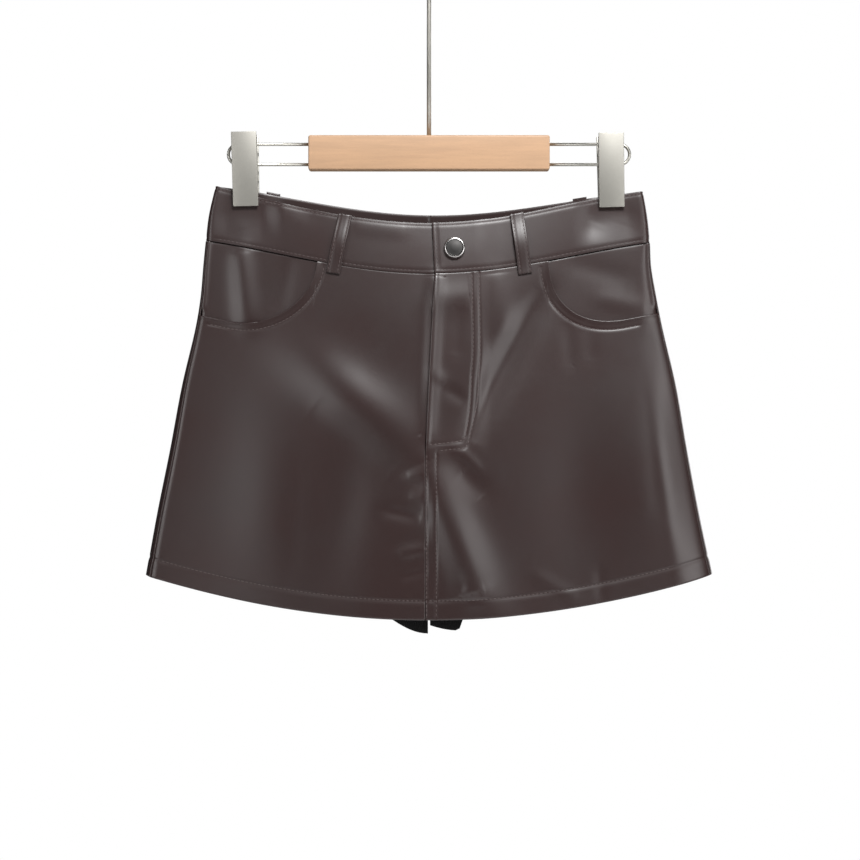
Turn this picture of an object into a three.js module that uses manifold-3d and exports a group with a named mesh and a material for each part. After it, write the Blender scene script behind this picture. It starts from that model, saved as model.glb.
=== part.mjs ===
// A leather mini skirt with inner shorts, hanging from a clip hanger.
// Millimetres, +Z up. The front faces -Y. The origin is the hook's inner top, where a rail carries it.
// "Left" and "right" are the viewer's, with left at -X.
import * as THREE from "three";
import { mergeVertices } from "three/addons/utils/BufferGeometryUtils.js";
import Module from "manifold-3d";

const wasm = await Module();
wasm.setup();

// Cloth thicknesses and the gap kept between pieces
const GAP = 0.3;
const LEATHER = 1.2;
const BAND = 2;
const FACING = 1;
const JERSEY = 1;
const TAPE = 1;

// The garment's heights: the waist seam at the side folds, and what lies above and below it
const WAIST_SEAM_Z = -254;
const BAND_DEPTH = 43;
const SKIRT_DROP = 269.7;
const HEM_ALLOWANCE = 15;

// Rows of the hanging tube, by drop below the waist seam at the side folds.
// left, right: half widths of the cloth's base face. Each side fold is a quarter ellipse twice over:
// wide is its reach along X and deep its reach along Y.
const SIDES = [
  { drop: -43, left: 171.8, right: 172.2, leftWide: 3.2, rightWide: 3.2, leftDeep: 3.2, rightDeep: 3.2 },
  { drop: -20, left: 177.1, right: 175.8, leftWide: 3.6, rightWide: 4.5, leftDeep: 3.6, rightDeep: 3.8 },
  { drop: 0, left: 179.7, right: 177.8, leftWide: 4, rightWide: 6, leftDeep: 4, rightDeep: 4.5 },
  { drop: 19.5, left: 181.7, right: 178.8, leftWide: 4.4, rightWide: 9, leftDeep: 4.3, rightDeep: 5.2 },
  { drop: 45.4, left: 184, right: 183.2, leftWide: 5, rightWide: 13, leftDeep: 4.6, rightDeep: 6 },
  { drop: 71.3, left: 188.3, right: 188.4, leftWide: 5.6, rightWide: 17, leftDeep: 5, rightDeep: 7 },
  { drop: 116.7, left: 198.9, right: 198.9, leftWide: 6.6, rightWide: 22, leftDeep: 5.6, rightDeep: 8.5 },
  { drop: 168.5, left: 208.6, right: 207.8, leftWide: 7.4, rightWide: 26, leftDeep: 6.2, rightDeep: 10 },
  { drop: 220.3, left: 219.1, right: 217.5, leftWide: 8, rightWide: 29, leftDeep: 6.6, rightDeep: 11 },
  { drop: 269.7, left: 228, right: 228, leftWide: 8.5, rightWide: 32, leftDeep: 7, rightDeep: 12 },
];
// The same rows across the middle, as lists: drop, how far the centre hangs below the sides at the
// front and at the back, how far it stands off the middle plane there, 2 for a bell-shaped section and
// less for a fuller one, how much higher the left side hangs, and 0 for a parabolic row or 1 for one
// that rises early.
const MIDDLE_KEYS = ["drop", "frontDip", "backDip", "frontBulge", "backBulge", "round", "tilt", "curl"];
const MIDDLES = [
  [-43, 28.7, 20, 9, 12, 2, 4.4, 0.5],
  [0, 26.9, 21, 14, 16, 1.9, 1.6, 0.5],
  [45.4, 27.8, 23, 18, 20, 1.8, 1, 0.4],
  [116.7, 30, 26, 21.5, 24, 1.7, 0.3, 0.22],
  [168.5, 31.5, 28, 23, 25.5, 1.6, 0, 0.12],
  [269.7, 34.2, 31, 26, 27, 1.5, -0.9, 0],
].map((row) => Object.fromEntries(MIDDLE_KEYS.map((key, i) => [key, row[i]])));
// How much earlier the top of each half of the waistband rises at the front than its row says
const TOP_CURL = { [-1]: -0.3, [1]: 0.1 };

// The largest folds: centre, slant of the crest from +X, half length, half width and height off the cloth.
const FRONT_FOLDS = [
  { x: -51, z: -371, slant: -40, long: 55, wide: 17, high: 3.5 },
  { x: -128, z: -450, slant: 88, long: 75, wide: 26, high: 3 },
  { x: -70, z: -470, slant: 80, long: 60, wide: 22, high: -2.5 },
  { x: 62, z: -355, slant: 63, long: 60, wide: 15, high: -3.5 },
  { x: 58, z: -494, slant: -53, long: 65, wide: 18, high: 3.5 },
  { x: 120, z: -455, slant: 84, long: 70, wide: 24, high: -2.5 },
  { x: 168, z: -440, slant: -85, long: 80, wide: 24, high: 3.5 },
];
const BACK_FOLDS = [
  { x: -120, z: -430, slant: 84, long: 80, wide: 26, high: 3.5 },
  { x: -45, z: -400, slant: 66, long: 60, wide: 18, high: -3 },
  { x: 30, z: -470, slant: 100, long: 70, wide: 22, high: 3 },
  { x: 95, z: -390, slant: -62, long: 60, wide: 17, high: -3 },
  { x: 150, z: -450, slant: -84, long: 75, wide: 24, high: 3 },
];

// The folds fade out between two shares of the half width, and start this far below the waist seam.
const FOLDS = { fade: 0.88, end: 0.98, below: 40 };

// Scoop pockets: where the mouth starts, how far its curve runs outwards, its depth and its roundness
const POCKETS = [
  { side: -1, start: 90, run: 70, depth: 60, round: 1.8 },
  { side: 1, start: 96.4, run: 65, depth: 57.4, round: 2.2 },
];
const FACING_REACH = 10;
const FACING_DROP_OFF = 0.5;

// How far each side seam lies in from the fold's outermost line, at the waist and below the hips
const SIDE_SEAM_INSET = { [-1]: [1.6, 4], [1]: [0.9, 2.2] };
const HIPS = { from: 40, to: 160 };

// The fly: the free edge of the right panel, its depth, and what lies below it
const FLY_EDGE_TOP = 4.4;
const FLY_EDGE_BOTTOM = -2.8;
const BAND_EDGE_TOP = 2.2;
const FLY_DEPTH = 134;
const FLY_FACING_WIDTH = 34;
const FLY_UNDERLAP = 3;
const FLY_FOOT = { from: 24, to: 6 };
const ZIP_WIDTH = 26;
const ZIP_LENGTH = 126;
const SHIELD = { from: -8, to: 36, length: 132, behind: 0.6, depth: 1.1 };
const BAND_UNDERLAP = 33;
const BAND_STEP_END = 62;
const FLY_STEP_END = 50;
const FLY_STEP_DROP = 18;

// Belt loops: centre at the band's top and at the loop's foot, for the front and the back
const LOOP = { width: 11, thickness: 1.6, clear: 0.4, bow: 2, below: 7.5, backBelow: 4 };
const FRONT_LOOPS = [
  { side: -1, top: -67.3, foot: -77 },
  { side: 1, top: 70.5, foot: 77.2 },
];
const BACK_LOOPS = [
  { side: -1, top: -126, foot: -130 },
  { side: 1, top: 122, foot: 126 },
];

const BUTTON = {
  x: 20.5, drop: -20.4, radius: 8.6, height: 3.4, rim: 1.5, dish: 0.8, edge: 0.6, sides: 22,
};

// Inner shorts: how they leave the skirt, where the crotch comes together and the leg hems
const SHORTS = {
  aboveSeam: 6, inset: 2.4, slimmer: 23, shallower: 7, crotchStart: 150, crotch: 214,
  sideHem: 251, apart: 4.2, gusset: 46, gussetRound: 0.6, legGap: 0.8, loose: 90, crowding: 1.4,
};
// Each leg's hem: the place of its lowest point, its drop past the side hem, and its spread either way
const LEG_HEMS = [
  { side: -1, lowest: 0, lower: 31.5, inwards: 46, outwards: 46 },
  { side: 1, lowest: 23, lower: 29, inwards: 60, outwards: 8 },
];

// The hanger
const HOOK = { wire: 3.6, radius: 21, bend: 14, tipAngle: 200, socket: 14 };
const BAR = { length: 195, height: 28, depth: 13, top: -168.2, edge: 2, corner: 3 };
const WIRE = { diameter: 2.6, spacing: 16.4, upper: -174.9, reach: 163.8, socket: 15 };
const CLIPS = [
  { side: -1, x: -149.2, top: -166.1, lean: -1.2 },
  { side: 1, x: 146.6, top: -166.9, lean: -1.1 },
];
const CLIP = {
  width: 20.4, height: 59.5, sheet: 1.6, topSpread: 9.5, footSpread: 4.6, jaw: 15, flange: 1.2,
  flangeTop: 2, flangeFoot: 3, tuck: 0.4, pin: 3, pinDrop: 38.5, ear: 6,
};
const PINCH = { half: 15.5, fade: 8, from: -229, to: -262, apart: 1.6 };

const smooth = (from, to, value) => {
  const share = THREE.MathUtils.clamp((value - from) / (to - from), 0, 1);
  return share * share * (3 - 2 * share);
};
const mix = THREE.MathUtils.lerp;
const steps = (count, from, to) => Array.from({ length: count + 1 }, (_, i) => mix(from, to, i / count));

// Every value of a table at a drop, on a smooth curve through its rows.
function between(table, drop) {
  const found = table.findIndex((row) => row.drop > drop) - 1;
  const i = found >= 0 ? found : drop < 0 ? 0 : table.length - 2;
  const [a, b] = [table[i], table[i + 1]];
  const [before, after] = [table[i - 1] ?? a, table[i + 2] ?? b];
  const span = b.drop - a.drop;
  const t = (drop - a.drop) / span;
  const row = {};
  for (const key of Object.keys(a)) {
    const slopeA = ((b[key] - before[key]) / (b.drop - before.drop)) * span;
    const slopeB = ((after[key] - a[key]) / (after.drop - a.drop)) * span;
    const bend = (t - 1) * slopeA + t * slopeB - (2 * t - 1) * (b[key] - a[key]);
    row[key] = mix(a[key], b[key], t) + t * (t - 1) * bend;
  }
  return row;
}
const rowAt = (drop) => ({ ...between(SIDES, drop), ...between(MIDDLES, drop) });

// How far the clips press the band together at a place: 1 inside their jaws, 0 away from them.
function pinch(x, z) {
  const clip = CLIPS[x < 0 ? 0 : 1];
  const across = 1 - smooth(PINCH.half, PINCH.half + PINCH.fade, Math.abs(x - clip.x));
  return across * smooth(PINCH.to, PINCH.from, z);
}

function foldHeight(folds, x, z) {
  let height = 0;
  for (const fold of folds) {
    const slant = THREE.MathUtils.degToRad(fold.slant);
    const along = (x - fold.x) * Math.cos(slant) + (z - fold.z) * Math.sin(slant);
    const across = (z - fold.z) * Math.cos(slant) - (x - fold.x) * Math.sin(slant);
    height += fold.high * Math.exp(-((along / fold.long) ** 2) - (across / fold.wide) ** 2);
  }
  return height;
}

const foldOf = (side, row) =>
  side < 0
    ? { half: row.left, wide: row.leftWide, deep: row.leftDeep }
    : { half: row.right, wide: row.rightWide, deep: row.rightDeep };

// A point of the hanging tube's base face. turn runs 0 to 1 from the centre front to the side fold,
// 1 to 2 round the fold and 2 to 3 along the back to the centre back.
function tube(side, turn, drop, row = rowAt(drop)) {
  const { half, wide, deep } = foldOf(side, row);
  const flat = half - wide;
  const back = turn > 1.5;
  let x;
  let y;
  if (turn > 1 && turn < 2) {
    const angle = (turn - 1) * Math.PI;
    x = flat + wide * Math.sin(angle);
    y = -deep * Math.cos(angle);
  } else {
    x = flat * (back ? 3 - turn : turn);
    const bulge = (back ? row.backBulge : row.frontBulge) - deep;
    y = deep + bulge * Math.abs(Math.cos((Math.PI * x) / flat / 2)) ** row.round;
    if (!back) y = -y;
  }
  const share = x / half;
  const curl = row.curl + (back ? 0 : TOP_CURL[side] * Math.max(-drop / BAND_DEPTH, 0));
  const rise = mix(share ** 2, (1 - Math.cos(Math.PI * share)) / 2, curl);
  const dip = (back ? row.backDip : row.frontDip) * (1 - rise);
  const z = WAIST_SEAM_Z - drop - dip - (row.tilt / 2) * side * share;
  const press = pinch(side * x, z);
  y = mix(y, Math.sign(y) * Math.min(Math.abs(y), PINCH.apart), press);
  const free = (1 - smooth(FOLDS.fade, FOLDS.end, Math.abs(share))) * smooth(0, FOLDS.below, drop);
  const relief = free * foldHeight(back ? BACK_FOLDS : FRONT_FOLDS, side * x, z);
  return new THREE.Vector3(side * x, y + (back ? relief : -relief), z);
}

const NUDGE = 1e-3;

// The outward direction of a surface made by point(turn, drop).
function outward(point, side, turn, drop) {
  const along = point(turn + NUDGE, drop).sub(point(turn - NUDGE, drop));
  const down = point(turn, drop + NUDGE).sub(point(turn, drop - NUDGE));
  return along.cross(down).normalize().multiplyScalar(-side);
}

// A place on the tube, moved outwards by a height.
function onTube(side, turn, drop, height) {
  const point = (t, d) => tube(side, t, d);
  return point(turn, drop).addScaledVector(outward(point, side, turn, drop), height);
}

const flatHalf = (side, drop) => {
  const { half, wide } = foldOf(side, rowAt(drop));
  return half - wide;
};
// The turn of a place x millimetres from the centre, on the front or the back.
const frontTurn = (side, x, drop) => (side * x) / flatHalf(side, drop);
const backTurn = (side, x, drop) => 3 - (side * x) / flatHalf(side, drop);
// The turn of the side seam, moved on round the fold by a gap.
function seamTurn(side, drop, gap = 0) {
  const { wide, deep } = foldOf(side, rowAt(drop));
  const inset = mix(...SIDE_SEAM_INSET[side], smooth(HIPS.from, HIPS.to, drop));
  return 1 + (Math.asin(1 - inset / wide) + gap / deep) / Math.PI;
}

// A closed wall over a grid. point(column, row, face) gives a place on face 0, outside, or 1, inside.
function wall(columns, rows, point) {
  const positions = [];
  const index = [];
  const id = (i, j, face) => (face * columns.length + i) * rows.length + j;
  const quad = (a, b, c, d) => index.push(a, b, c, a, c, d);
  for (const face of [0, 1])
    for (const column of columns)
      for (const row of rows) positions.push(...point(column, row, face).toArray());
  const [lastColumn, lastRow] = [columns.length - 1, rows.length - 1];
  for (let i = 0; i < lastColumn; i++)
    for (let j = 0; j < lastRow; j++) {
      quad(id(i, j, 0), id(i, j + 1, 0), id(i + 1, j + 1, 0), id(i + 1, j, 0));
      quad(id(i, j, 1), id(i + 1, j, 1), id(i + 1, j + 1, 1), id(i, j + 1, 1));
    }
  for (let i = 0; i < lastColumn; i++) {
    quad(id(i, 0, 0), id(i + 1, 0, 0), id(i + 1, 0, 1), id(i, 0, 1));
    quad(id(i, lastRow, 0), id(i, lastRow, 1), id(i + 1, lastRow, 1), id(i + 1, lastRow, 0));
  }
  for (let j = 0; j < lastRow; j++) {
    quad(id(0, j, 0), id(0, j, 1), id(0, j + 1, 1), id(0, j + 1, 0));
    quad(id(lastColumn, j, 0), id(lastColumn, j + 1, 0), id(lastColumn, j + 1, 1), id(lastColumn, j, 1));
  }
  const geometry = new THREE.BufferGeometry();
  geometry.setAttribute("position", new THREE.Float32BufferAttribute(positions, 3));
  geometry.setIndex(facesOut(positions, index));
  geometry.computeVertexNormals();
  return geometry;
}

// The same faces, all turned round if together they enclose a negative volume.
function facesOut(positions, index) {
  const corner = (k) => new THREE.Vector3().fromArray(positions, index[k] * 3);
  let volume = 0;
  for (let k = 0; k < index.length; k += 3) volume += corner(k).dot(corner(k + 1).cross(corner(k + 2)));
  if (volume > 0) return index;
  const turned = [];
  for (let k = 0; k < index.length; k += 3) turned.push(index[k], index[k + 2], index[k + 1]);
  return turned;
}

function toSolid(geometry) {
  const plain = geometry.index ? geometry.toNonIndexed() : geometry.clone();
  plain.deleteAttribute("normal");
  plain.deleteAttribute("uv");
  const merged = mergeVertices(plain, 1e-4);
  return new wasm.Manifold(
    new wasm.Mesh({
      numProp: 3,
      vertProperties: merged.attributes.position.array,
      triVerts: new Uint32Array(merged.index.array),
    }),
  );
}

function toGeometry(solid) {
  const mesh = solid.getMesh();
  const geometry = new THREE.BufferGeometry();
  geometry.setAttribute("position", new THREE.Float32BufferAttribute(mesh.vertProperties, 3));
  geometry.setIndex([...mesh.triVerts]);
  geometry.computeVertexNormals();
  return geometry;
}

const finish = (colour, roughness, metalness = 0) =>
  new THREE.MeshStandardMaterial({ color: colour, roughness, metalness, flatShading: true });
const LEATHER_FINISH = () => finish(0x43383a, 0.42);
const JERSEY_FINISH = () => finish(0x121212, 0.9);
const NICKEL_FINISH = () => finish(0xaca898, 0.35, 1);
const WOOD_FINISH = () => finish(0xd4aa82, 0.55);

const skirt = new THREE.Group();
const hanger = new THREE.Group();

function add(group, name, geometry, material) {
  const mesh = new THREE.Mesh(geometry, material);
  mesh.name = name;
  group.add(mesh);
  return mesh;
}

// The right panel's free edge above the fly's foot, and the centre seam below it.
const flyEdge = (drop) => mix(FLY_EDGE_TOP, FLY_EDGE_BOTTOM, THREE.MathUtils.clamp(drop / FLY_DEPTH, 0, 1));

// How far the right pieces stand up where they lie over the left ones.
function bandStep(x) {
  return (BAND + GAP) * (1 - smooth(BAND_UNDERLAP + FLY_UNDERLAP, BAND_STEP_END, x));
}
function flyStep(x, drop) {
  const across = 1 - smooth(FLY_FACING_WIDTH, FLY_STEP_END, x);
  return (LEATHER + GAP) * across * (1 - smooth(FLY_DEPTH, FLY_DEPTH + FLY_STEP_DROP, drop));
}

// Drop of the scoop's edge below the waist seam at x, or 0 beside the pocket.
function scoopDrop(side, x) {
  const pocket = POCKETS.find((one) => one.side === side);
  const left = (pocket.start + pocket.run - Math.abs(x)) / pocket.run;
  if (left >= 1) return 0;
  return pocket.depth * (1 - Math.max(left, 0) ** pocket.round) ** (1 / pocket.round);
}

// Columns between the start of the side fold and the side seam
const FOLD_COLUMNS = { [-1]: [1.5], [1]: [1.4, 1.7] };

// Columns of a front panel, as turns at the waist seam: even to the pocket, crowded round its curve,
// and from 1 to 2 round the fold to the side seam.
function frontColumns(side) {
  const pocket = POCKETS.find((one) => one.side === side);
  const half = flatHalf(side, 0);
  const curve = steps(7, 0, Math.PI / 2).map((angle) => pocket.start + pocket.run * (1 - Math.cos(angle)));
  const flat = [...steps(6, 0, pocket.start - 1), ...curve].map((x) => x / half);
  return [...flat, 1, ...FOLD_COLUMNS[side], 2];
}

// How a column's top settles on the scoop, whose x depends on its drop.
const SETTLING = { passes: 12, share: 0.6 };

function frontPanel(side) {
  const innerEdge = (drop) => {
    if (side > 0) return flyEdge(drop);
    const foot = smooth(FLY_DEPTH - FLY_FOOT.from, FLY_DEPTH - FLY_FOOT.to, drop);
    const under = mix(FLY_UNDERLAP, -GAP, foot);
    return flyEdge(drop) + under;
  };
  const turnOf = (column, drop) => {
    const edge = frontTurn(side, innerEdge(drop), drop);
    return column < 1 ? mix(edge, 1, column) : mix(1, seamTurn(side, drop), column - 1);
  };
  const topOf = (column) => {
    let drop = GAP;
    for (let pass = 0; pass < SETTLING.passes; pass++) {
      const x = Math.min(turnOf(column, drop), 1) * flatHalf(side, drop);
      drop = mix(drop, Math.max(scoopDrop(side, x), GAP), SETTLING.share);
    }
    return drop;
  };
  const body = steps(15, 0, 1).map((share) => ({ share, hem: 0, inner: 0 }));
  const hem = [GAP, HEM_ALLOWANCE].map((below) => ({ share: 1, hem: below, inner: -LEATHER }));
  const rows = [...body, ...hem];
  const columns = frontColumns(side).map((turn) => ({ turn, top: topOf(turn) }));
  return wall(columns, rows, (column, row, face) => {
    const drop = mix(column.top, SKIRT_DROP - HEM_ALLOWANCE, row.share) + row.hem;
    const turn = turnOf(column.turn, drop);
    const step = side > 0 ? flyStep(turn * flatHalf(side, drop), drop) : 0;
    return onTube(side, turn, drop, step + (face ? row.inner : LEATHER));
  });
}

function backPanel(side) {
  const columns = [...steps(5, 1, 2), ...steps(13, 2, 3).slice(1)];
  const body = steps(13, GAP, SKIRT_DROP - HEM_ALLOWANCE).map((drop) => ({ drop, inner: 0 }));
  const hem = [SKIRT_DROP - HEM_ALLOWANCE + GAP, SKIRT_DROP].map((drop) => ({ drop, inner: -LEATHER }));
  return wall(columns, [...body, ...hem], (column, row, face) => {
    let turn = column;
    if (column < 2) turn = mix(seamTurn(side, row.drop, GAP), 2, column - 1);
    if (column === 3) turn = backTurn(side, (side * GAP) / 2, row.drop);
    return onTube(side, turn, row.drop, face ? row.inner : LEATHER);
  });
}

// Columns of the waistband where the clips press it, as turns
const BAND_AT_CLIPS = [0.78, 0.83, 0.88, 0.925, 0.965, 1];

function waistband(side) {
  const freeEdge = (drop) => mix(BAND_EDGE_TOP, FLY_EDGE_TOP, 1 + drop / BAND_DEPTH);
  const edge = side > 0 ? freeEdge : () => BAND_UNDERLAP;
  const front = [...steps(12, 0, BAND_AT_CLIPS[0]), ...BAND_AT_CLIPS.slice(1)];
  const back = front.slice(0, -1).reverse().map((turn) => 3 - turn);
  const columns = [...front, ...steps(6, 1, 2).slice(1), ...back];
  const rows = steps(4, -BAND_DEPTH, 0);
  return wall(columns, rows, (column, drop, face) => {
    let turn = column;
    if (column < 1) turn = mix(frontTurn(side, edge(drop), drop), 1, column);
    if (column === 3) turn = backTurn(side, (side * GAP) / 2, drop);
    const step = side > 0 && turn < 1 ? bandStep(turn * flatHalf(side, drop)) : 0;
    return onTube(side, turn, drop, step + (face ? -BAND / 2 : BAND / 2));
  });
}

function pocketFacing(side) {
  const pocket = POCKETS.find((one) => one.side === side);
  const inner = pocket.start - FACING_REACH;
  const flat = steps(11, inner, flatHalf(side, 0)).map((x) => x / flatHalf(side, 0));
  const columns = [...flat, ...FOLD_COLUMNS[side], 2];
  return wall(columns, steps(5, 0, 1), (column, share, face) => {
    const reach = scoopDrop(side, column * flatHalf(side, 0)) + FACING_REACH;
    const drop = mix(GAP, reach, share);
    const turn = column <= 1 ? column : mix(1, seamTurn(side, drop), column - 1);
    return onTube(side, turn, drop, -FACING_DROP_OFF - (face ? FACING : 0));
  });
}

// A strip behind the fly, from one x to another measured from the fly's edge or the centre.
function flyStrip(from, to, length, outer, inner) {
  return wall(steps(3, 0, 1), steps(8, GAP, length), (share, drop, face) => {
    const x = mix(from(drop), to(drop), share);
    return onTube(1, frontTurn(1, x, drop), drop, face ? inner : outer);
  });
}

function beltLoop(loop, turnOf, below) {
  return wall(steps(2, -0.5, 0.5), steps(8, 0, 1), (across, share, face) => {
    const drop = mix(-BAND_DEPTH, below, share);
    const x = mix(loop.top, loop.foot, share) + across * LOOP.width;
    const height = LEATHER + LOOP.clear + LOOP.bow * Math.sin(Math.PI * share) ** 2;
    return onTube(loop.side, turnOf(loop.side, x, drop), drop, height + (face ? 0 : LOOP.thickness));
  });
}

// The shorts follow the skirt's tube at the waist and hang slimmer and shallower below it.
function shortsRow(drop) {
  const row = rowAt(drop);
  const share = Math.max(drop, 0) / SKIRT_DROP;
  const ease = smooth(0, SHORTS.loose, drop);
  const round = row.leftDeep - ease;
  return {
    ...row,
    left: row.left - SHORTS.slimmer * share,
    right: row.right - SHORTS.slimmer * share,
    leftWide: round, rightWide: round, leftDeep: round, rightDeep: round,
    frontBulge: row.frontBulge - SHORTS.shallower * ease,
    backBulge: row.backBulge - SHORTS.shallower * ease,
  };
}

function shortsPoint(side, turn, drop) {
  const row = shortsRow(drop);
  const { half, wide } = foldOf(side, row);
  const legGap = mix(GAP / 2, SHORTS.legGap, smooth(SHORTS.crotch, SKIRT_DROP, drop));
  const centre = legGap / (half - wide);
  let spread = turn;
  if (turn < 1) spread = mix(centre, 1, turn);
  if (turn > 2) spread = mix(2, 3 - centre, turn - 2);
  const place = tube(side, spread, drop, row);
  const closing = smooth(SHORTS.crotchStart, SHORTS.crotch, drop);
  const away = smooth(0, SHORTS.gusset, Math.abs(place.x) - legGap);
  const gusset = closing * (1 - away) ** SHORTS.gussetRound;
  place.y = mix(place.y, Math.sign(place.y) * SHORTS.apart, gusset);
  return place;
}

function legHem(side, x) {
  const hem = LEG_HEMS.find((one) => one.side === side);
  const away = Math.abs(x) - hem.lowest;
  return SHORTS.sideHem + hem.lower * Math.exp(-((away / (away < 0 ? hem.inwards : hem.outwards)) ** 2));
}

function shortsHalf(side) {
  const front = steps(10, 0, 1).map((share) => share ** SHORTS.crowding);
  const back = front.slice(0, -1).reverse().map((turn) => 3 - turn);
  const columns = [...front, ...steps(4, 1, 2).slice(1), ...back];
  return wall(columns, steps(11, 0, 1), (column, share, face) => {
    const x = Math.min(column, 3 - column, 1) * flatHalf(-1, SHORTS.sideHem);
    const drop = mix(-SHORTS.aboveSeam, legHem(side, x), share);
    const point = (t, d) => shortsPoint(side, t, d);
    const normal = outward(point, side, THREE.MathUtils.clamp(column, 2 * NUDGE, 3 - 2 * NUDGE), drop);
    return point(column, drop).addScaledVector(normal, -SHORTS.inset - (face ? JERSEY : 0));
  });
}

// A polished button: a flat back, a rounded rim and a low dome.
function buttonGeometry() {
  const { radius, height, rim, dish, edge, sides } = BUTTON;
  const profile = [
    [0, 0], [radius - edge, 0], [radius, edge], [radius, height / 2], [radius - edge, height - edge],
    [radius - rim, height], [radius - rim - edge, height - dish], [radius / 2, height - edge],
    [0, height - edge / 2],
  ];
  return new THREE.LatheGeometry(profile.map(([r, h]) => new THREE.Vector2(r, h)), sides);
}

// A round wire along a path of points.
function wireAlong(curve, diameter, sides, count) {
  const section = new THREE.Shape(
    steps(sides, 0, 2 * Math.PI).slice(0, -1)
      .map((a) => new THREE.Vector2(Math.cos(a), Math.sin(a)).multiplyScalar(diameter / 2)),
  );
  return new THREE.ExtrudeGeometry(section, { steps: count, bevelEnabled: false, extrudePath: curve });
}

// A path in the X-Z plane made of straight runs and arcs, walked by length.
class WirePath extends THREE.Curve {
  constructor(pieces) {
    super();
    this.pieces = pieces;
    this.total = pieces.reduce((sum, piece) => sum + piece.length, 0);
  }
  getPoint(t) {
    let rest = t * this.total;
    const piece = this.pieces.find((one) => (rest -= one.length) <= 1e-9) ?? this.pieces.at(-1);
    return piece.at(THREE.MathUtils.clamp(1 + rest / piece.length, 0, 1));
  }
}
const run = (x0, z0, x1, z1) => ({
  length: Math.hypot(x1 - x0, z1 - z0),
  at: (t) => new THREE.Vector3(mix(x0, x1, t), 0, mix(z0, z1, t)),
});
const arc = (x, z, radius, from, to) => ({
  length: Math.abs(to - from) * radius,
  at: (t) => {
    const angle = mix(from, to, t);
    return new THREE.Vector3(x + radius * Math.cos(angle), 0, z + radius * Math.sin(angle));
  },
});

function hookGeometry() {
  const centre = HOOK.wire / 2 - HOOK.radius;
  const bendDrop = Math.sqrt(HOOK.radius ** 2 + 2 * HOOK.radius * HOOK.bend);
  const meet = Math.atan2(-bendDrop, HOOK.bend);
  const path = new WirePath([
    run(0, BAR.top - HOOK.socket, 0, centre - bendDrop),
    arc(HOOK.bend, centre - bendDrop, HOOK.bend, Math.PI, Math.PI + meet),
    arc(0, centre, HOOK.radius, meet, THREE.MathUtils.degToRad(HOOK.tipAngle)),
  ]);
  return wireAlong(path, HOOK.wire, 10, 40);
}

function wireLoop(side) {
  const radius = WIRE.spacing / 2;
  const turn = side * (WIRE.reach - radius - WIRE.diameter / 2);
  const inside = side * (BAR.length / 2 - WIRE.socket);
  const lower = WIRE.upper - WIRE.spacing;
  const path = new WirePath([
    run(inside, WIRE.upper, turn, WIRE.upper),
    arc(turn, WIRE.upper - radius, radius, Math.PI / 2, Math.PI / 2 - side * Math.PI),
    run(turn, lower, inside, lower),
  ]);
  return wireAlong(path, WIRE.diameter, 8, 26);
}

// The bar: a rounded board with bores for the hook's stem and the four wire ends.
function barGeometry() {
  const { length, height, depth, edge, corner } = BAR;
  const [w, h] = [length / 2 - edge, height / 2 - edge];
  const outline = new THREE.Shape();
  outline.moveTo(-w + corner, -h);
  outline.lineTo(w - corner, -h).quadraticCurveTo(w, -h, w, -h + corner);
  outline.lineTo(w, h - corner).quadraticCurveTo(w, h, w - corner, h);
  outline.lineTo(-w + corner, h).quadraticCurveTo(-w, h, -w, h - corner);
  outline.lineTo(-w, -h + corner).quadraticCurveTo(-w, -h, -w + corner, -h);
  const board = new THREE.ExtrudeGeometry(outline, {
    depth: depth - 2 * edge, curveSegments: 3, bevelThickness: edge, bevelSize: edge, bevelSegments: 2,
  });
  board.translate(0, 0, edge - depth / 2).rotateX(Math.PI / 2).translate(0, 0, BAR.top - height / 2);
  let solid = toSolid(board);
  const bore = (diameter, reach) =>
    new THREE.CylinderGeometry(diameter / 2 + GAP, diameter / 2 + GAP, 2 * (reach + GAP), 12);
  const stem = bore(HOOK.wire, HOOK.socket).rotateX(Math.PI / 2).translate(0, 0, BAR.top);
  solid = solid.subtract(toSolid(stem));
  for (const side of [-1, 1])
    for (const z of [WIRE.upper, WIRE.upper - WIRE.spacing]) {
      const end = bore(WIRE.diameter, WIRE.socket).rotateZ(Math.PI / 2);
      solid = solid.subtract(toSolid(end.translate((side * length) / 2, 0, z)));
    }
  return toGeometry(solid);
}

// A flat shape in the clip's own Y and Z, made a slab across X.
function clipSlab(outline, thickness, x) {
  const shape = new THREE.Shape(outline.map(([y, z]) => new THREE.Vector2(y, z)));
  const geometry = new THREE.ExtrudeGeometry(shape, { depth: thickness, bevelEnabled: false });
  const axes = new THREE.Matrix4().makeBasis(
    new THREE.Vector3(0, -1, 0), new THREE.Vector3(0, 0, 1), new THREE.Vector3(-1, 0, 0));
  return toSolid(geometry.applyMatrix4(axes).translate(x + thickness, 0, 0));
}

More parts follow.
